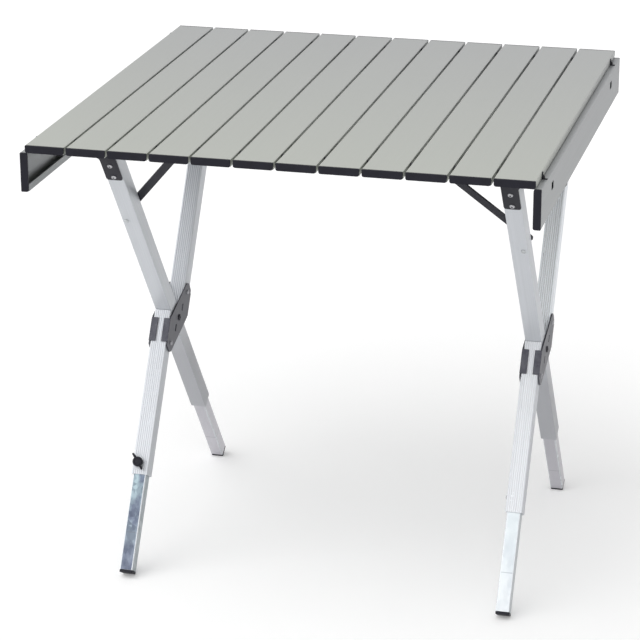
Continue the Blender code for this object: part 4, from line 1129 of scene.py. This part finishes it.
def frame_rivets(plane):
    """Heads on the brackets and braces of one pair of legs, and tails on the legs' outer faces."""
    heads, tails = [], []
    out = -plane.inward
    fold_y, fold = plane.outer_fold()
    inner_y, inner_fold = plane.inner_fold()
    upright = plane.world(0, fold_y, fold)
    inner_upright = plane.world(0, inner_y, inner_fold)
    reach = BRACE_LEAN * (inner_fold + BRACE_RISE - (fold - BRACE_DROP)) - BRACE_ASIDE
    for side in (-1, 1):
        x = side * LEG_X
        face = plane.outer + out * (CLEARANCE + BRACKET_SHEET)
        for drop in BRACKET_RIVETS:
            heads.append((plane.world(x, face, fold - drop), plane.direction(out)))
        arm = PIVOT.x + x + side * ARM_RIVET_X
        spot = Vector((arm, upright.y + out * BRACKET_SHEET, upright.z + ARM_RIVET_RISE))
        heads.append((spot, Vector((0, out, 0))))
        face = plane.inner - out * (CLEARANCE + BRACE_SHEET)
        low_x = x + side * BRACE_ASIDE
        heads.append((plane.world(low_x, face, fold - BRACE_DROP), plane.direction(-out)))
        tails.append((plane.world(low_x, plane.outer, fold - BRACE_DROP), plane.direction(out)))
        top = PIVOT.x + x - side * reach
        spot = Vector((top, inner_upright.y - out * BRACE_SHEET, inner_upright.z + BRACE_RISE))
        heads.append((spot, Vector((0, -out, 0))))
    return heads, tails


def plate_rivets():
    """Heads on the outer plates and tails on the inner ones."""
    heads, tails = [], []
    outside = LEG_HALF + CLEARANCE + PLATE_SHEET
    for side in (-1, 1):
        out = Vector((side, 0, 0))
        for y, z in ((-PLATE_RIVET_Y, -PLATE_RIVET_Z), (PLATE_RIVET_Y, PLATE_RIVET_Z)):
            heads.append((REAR.world(side * (LEG_X + outside), y, z), out))
            tails.append((REAR.world(side * (LEG_X - outside), y, z), -out))
    return heads, tails


def add_rivets(name, places, make, body, finish):
    shapes = []
    for place, direction in places:
        shape = make()
        shape.transform(pointing(place, direction))
        shapes.append(shape)
    add_piece(name, gathered(shapes), body, finish)


for plane, end in ((FRONT, "front"), (REAR, "rear")):
    heads, tails = frame_rivets(plane)
    add_rivets(end + "_rivet_heads", heads, rivet_head, end + "_frame", RIVET_STEEL)
    add_rivets(end + "_rivet_tails", tails, rivet_tail, end + "_frame", TAIL_STEEL)
heads, tails = plate_rivets()
add_rivets("plate_rivet_heads", heads, rivet_head, "rear_frame", DULL_RIVET)
add_rivets("plate_rivet_tails", tails, rivet_tail, "rear_frame", DULL_RIVET)
print("rivets on brackets, braces and plates")

# %% [markdown]
# ## Bolts, buttons and the knob
# A bolt with a hexagon socket goes through each crossing. It is spun, and the socket's round wall is
# then pulled onto a hexagon. The spring buttons that lock three legs are plain domes, and the near
# left leg has a plastic knob with two wings instead.

# %% Bolts
BOLT_RADIUS = 0.003
BOLT_HEAD = 0.0048
BOLT_HEIGHT = 0.0016
BOLT_SOCKET = 0.0018


def hexagonal(shape, radius):
    """Pull the round wall of a socket onto a hexagon that just fits inside it."""
    for corner in shape.verts:
        flat = math.hypot(corner.co.x, corner.co.y)
        if abs(flat - radius) < 1e-5:
            turn = math.atan2(corner.co.y, corner.co.x) % (math.pi / 3) - math.pi / 6
            scale = math.cos(math.pi / 6) / math.cos(turn)
            corner.co.x *= scale
            corner.co.y *= scale


def bolt():
    """A round head with a socket on each side of the crossing, and the shank between them."""
    outside = LEG_HALF + 2 * CLEARANCE + PLATE_SHEET
    top = outside + BOLT_HEIGHT
    half = [
        (0, top - 0.0012), (BOLT_SOCKET, top - 0.0010), (BOLT_SOCKET, top - 0.0001),
        (BOLT_SOCKET + 0.0003, top), (BOLT_HEAD - 0.0014, top), (BOLT_HEAD - 0.0005, top - 0.0003),
        (BOLT_HEAD, top - 0.0008), (BOLT_HEAD, outside), (BOLT_RADIUS, outside),
    ]
    profile = half + [(radius, -height) for radius, height in reversed(half)]
    shape = spun(profile, 48)
    hexagonal(shape, BOLT_SOCKET)
    return shape


for side, label in SIDES:
    shape = bolt()
    shape.transform(pointing(PIVOT + Vector((side * LEG_X, 0, 0)), (1, 0, 0)))
    stand_in("pivot_bolt_" + label, shape, BLACK_STEEL)
print("2 bolts")

# %% Buttons and knob
STEM_DEPTH = 0.0022
BUTTON_RADIUS = 0.0035
KNOB_RADIUS = 0.0075
KNOB_HEIGHT = 0.011
KNOB_ASIDE = 0.003
KNOB_TURN = math.radians(-53)
WING_SIZE = (0.030, 0.0032, 0.0068)
WING_Z = 0.0062
WING_TAPER = 0.72
WING_EDGE = 0.0010
REAR_REACH = 0.250
FRONT_REACH = 0.240
BUTTON_FROM_END = 0.022
KNOB_FROM_END = 0.0175


def button_shape():
    r = BUTTON_RADIUS
    return spun([
        (0, -STEM_DEPTH), (r, -STEM_DEPTH), (r, 0.0012), (0.95 * r, 0.0018), (0.80 * r, 0.0024),
        (0.55 * r, 0.0028), (0.28 * r, 0.00296), (0, 0.003),
    ], 32)


def knob_shape():
    """A hub with a waist and a shallow dish on top, and two wings that widen outwards."""
    r, h = KNOB_RADIUS, KNOB_HEIGHT
    hub = spun([
        (0, -STEM_DEPTH), (0.4 * r, -STEM_DEPTH), (0.4 * r, CLEARANCE), (0.70 * r, CLEARANCE),
        (0.72 * r, 0.18 * h), (0.94 * r, 0.32 * h), (r, 0.40 * h), (r, 0.78 * h), (0.94 * r, 0.92 * h),
        (0.80 * r, h), (0.62 * r, h), (0.52 * r, 0.93 * h), (0, 0.91 * h),
    ], 40)
    wings = block(WING_SIZE, (0, 0, WING_Z))
    for corner in wings.verts:
        if corner.co.z < WING_Z:
            corner.co.x *= WING_TAPER
    rounded(wings, wings.edges[:], WING_EDGE, 3)
    return gathered([hub, wings])


for foot, plane, side, y, reach in (
    ("near_right", REAR, 1, -LEG_OFFSET, REAR_REACH),
    ("back_left", FRONT, -1, 0.0, FRONT_REACH),
    ("back_right", FRONT, 1, 0.0, FRONT_REACH),
):
    shape = button_shape()
    shape.transform(pointing(plane.world(side * LEG_X - LEG_HALF, y, BUTTON_FROM_END - reach), (-1, 0, 0)))
    stand_in(foot + "_snap_button", shape, RIVET_STEEL)

out = REAR.direction(-1)
axes = Matrix((Vector((1, 0, 0)), out.cross(Vector((1, 0, 0))), out)).transposed().to_4x4()
foot_of_knob = REAR.world(-LEG_X - KNOB_ASIDE, -LEG_OFFSET - LEG_HALF, KNOB_FROM_END - REAR_REACH)
shape = knob_shape()
shape.transform(Matrix.Translation(foot_of_knob) @ axes @ Matrix.Rotation(KNOB_TURN, 4, "Z"))
stand_in("near_left_clamp_knob", shape, PLASTIC)
print("3 buttons and a knob")
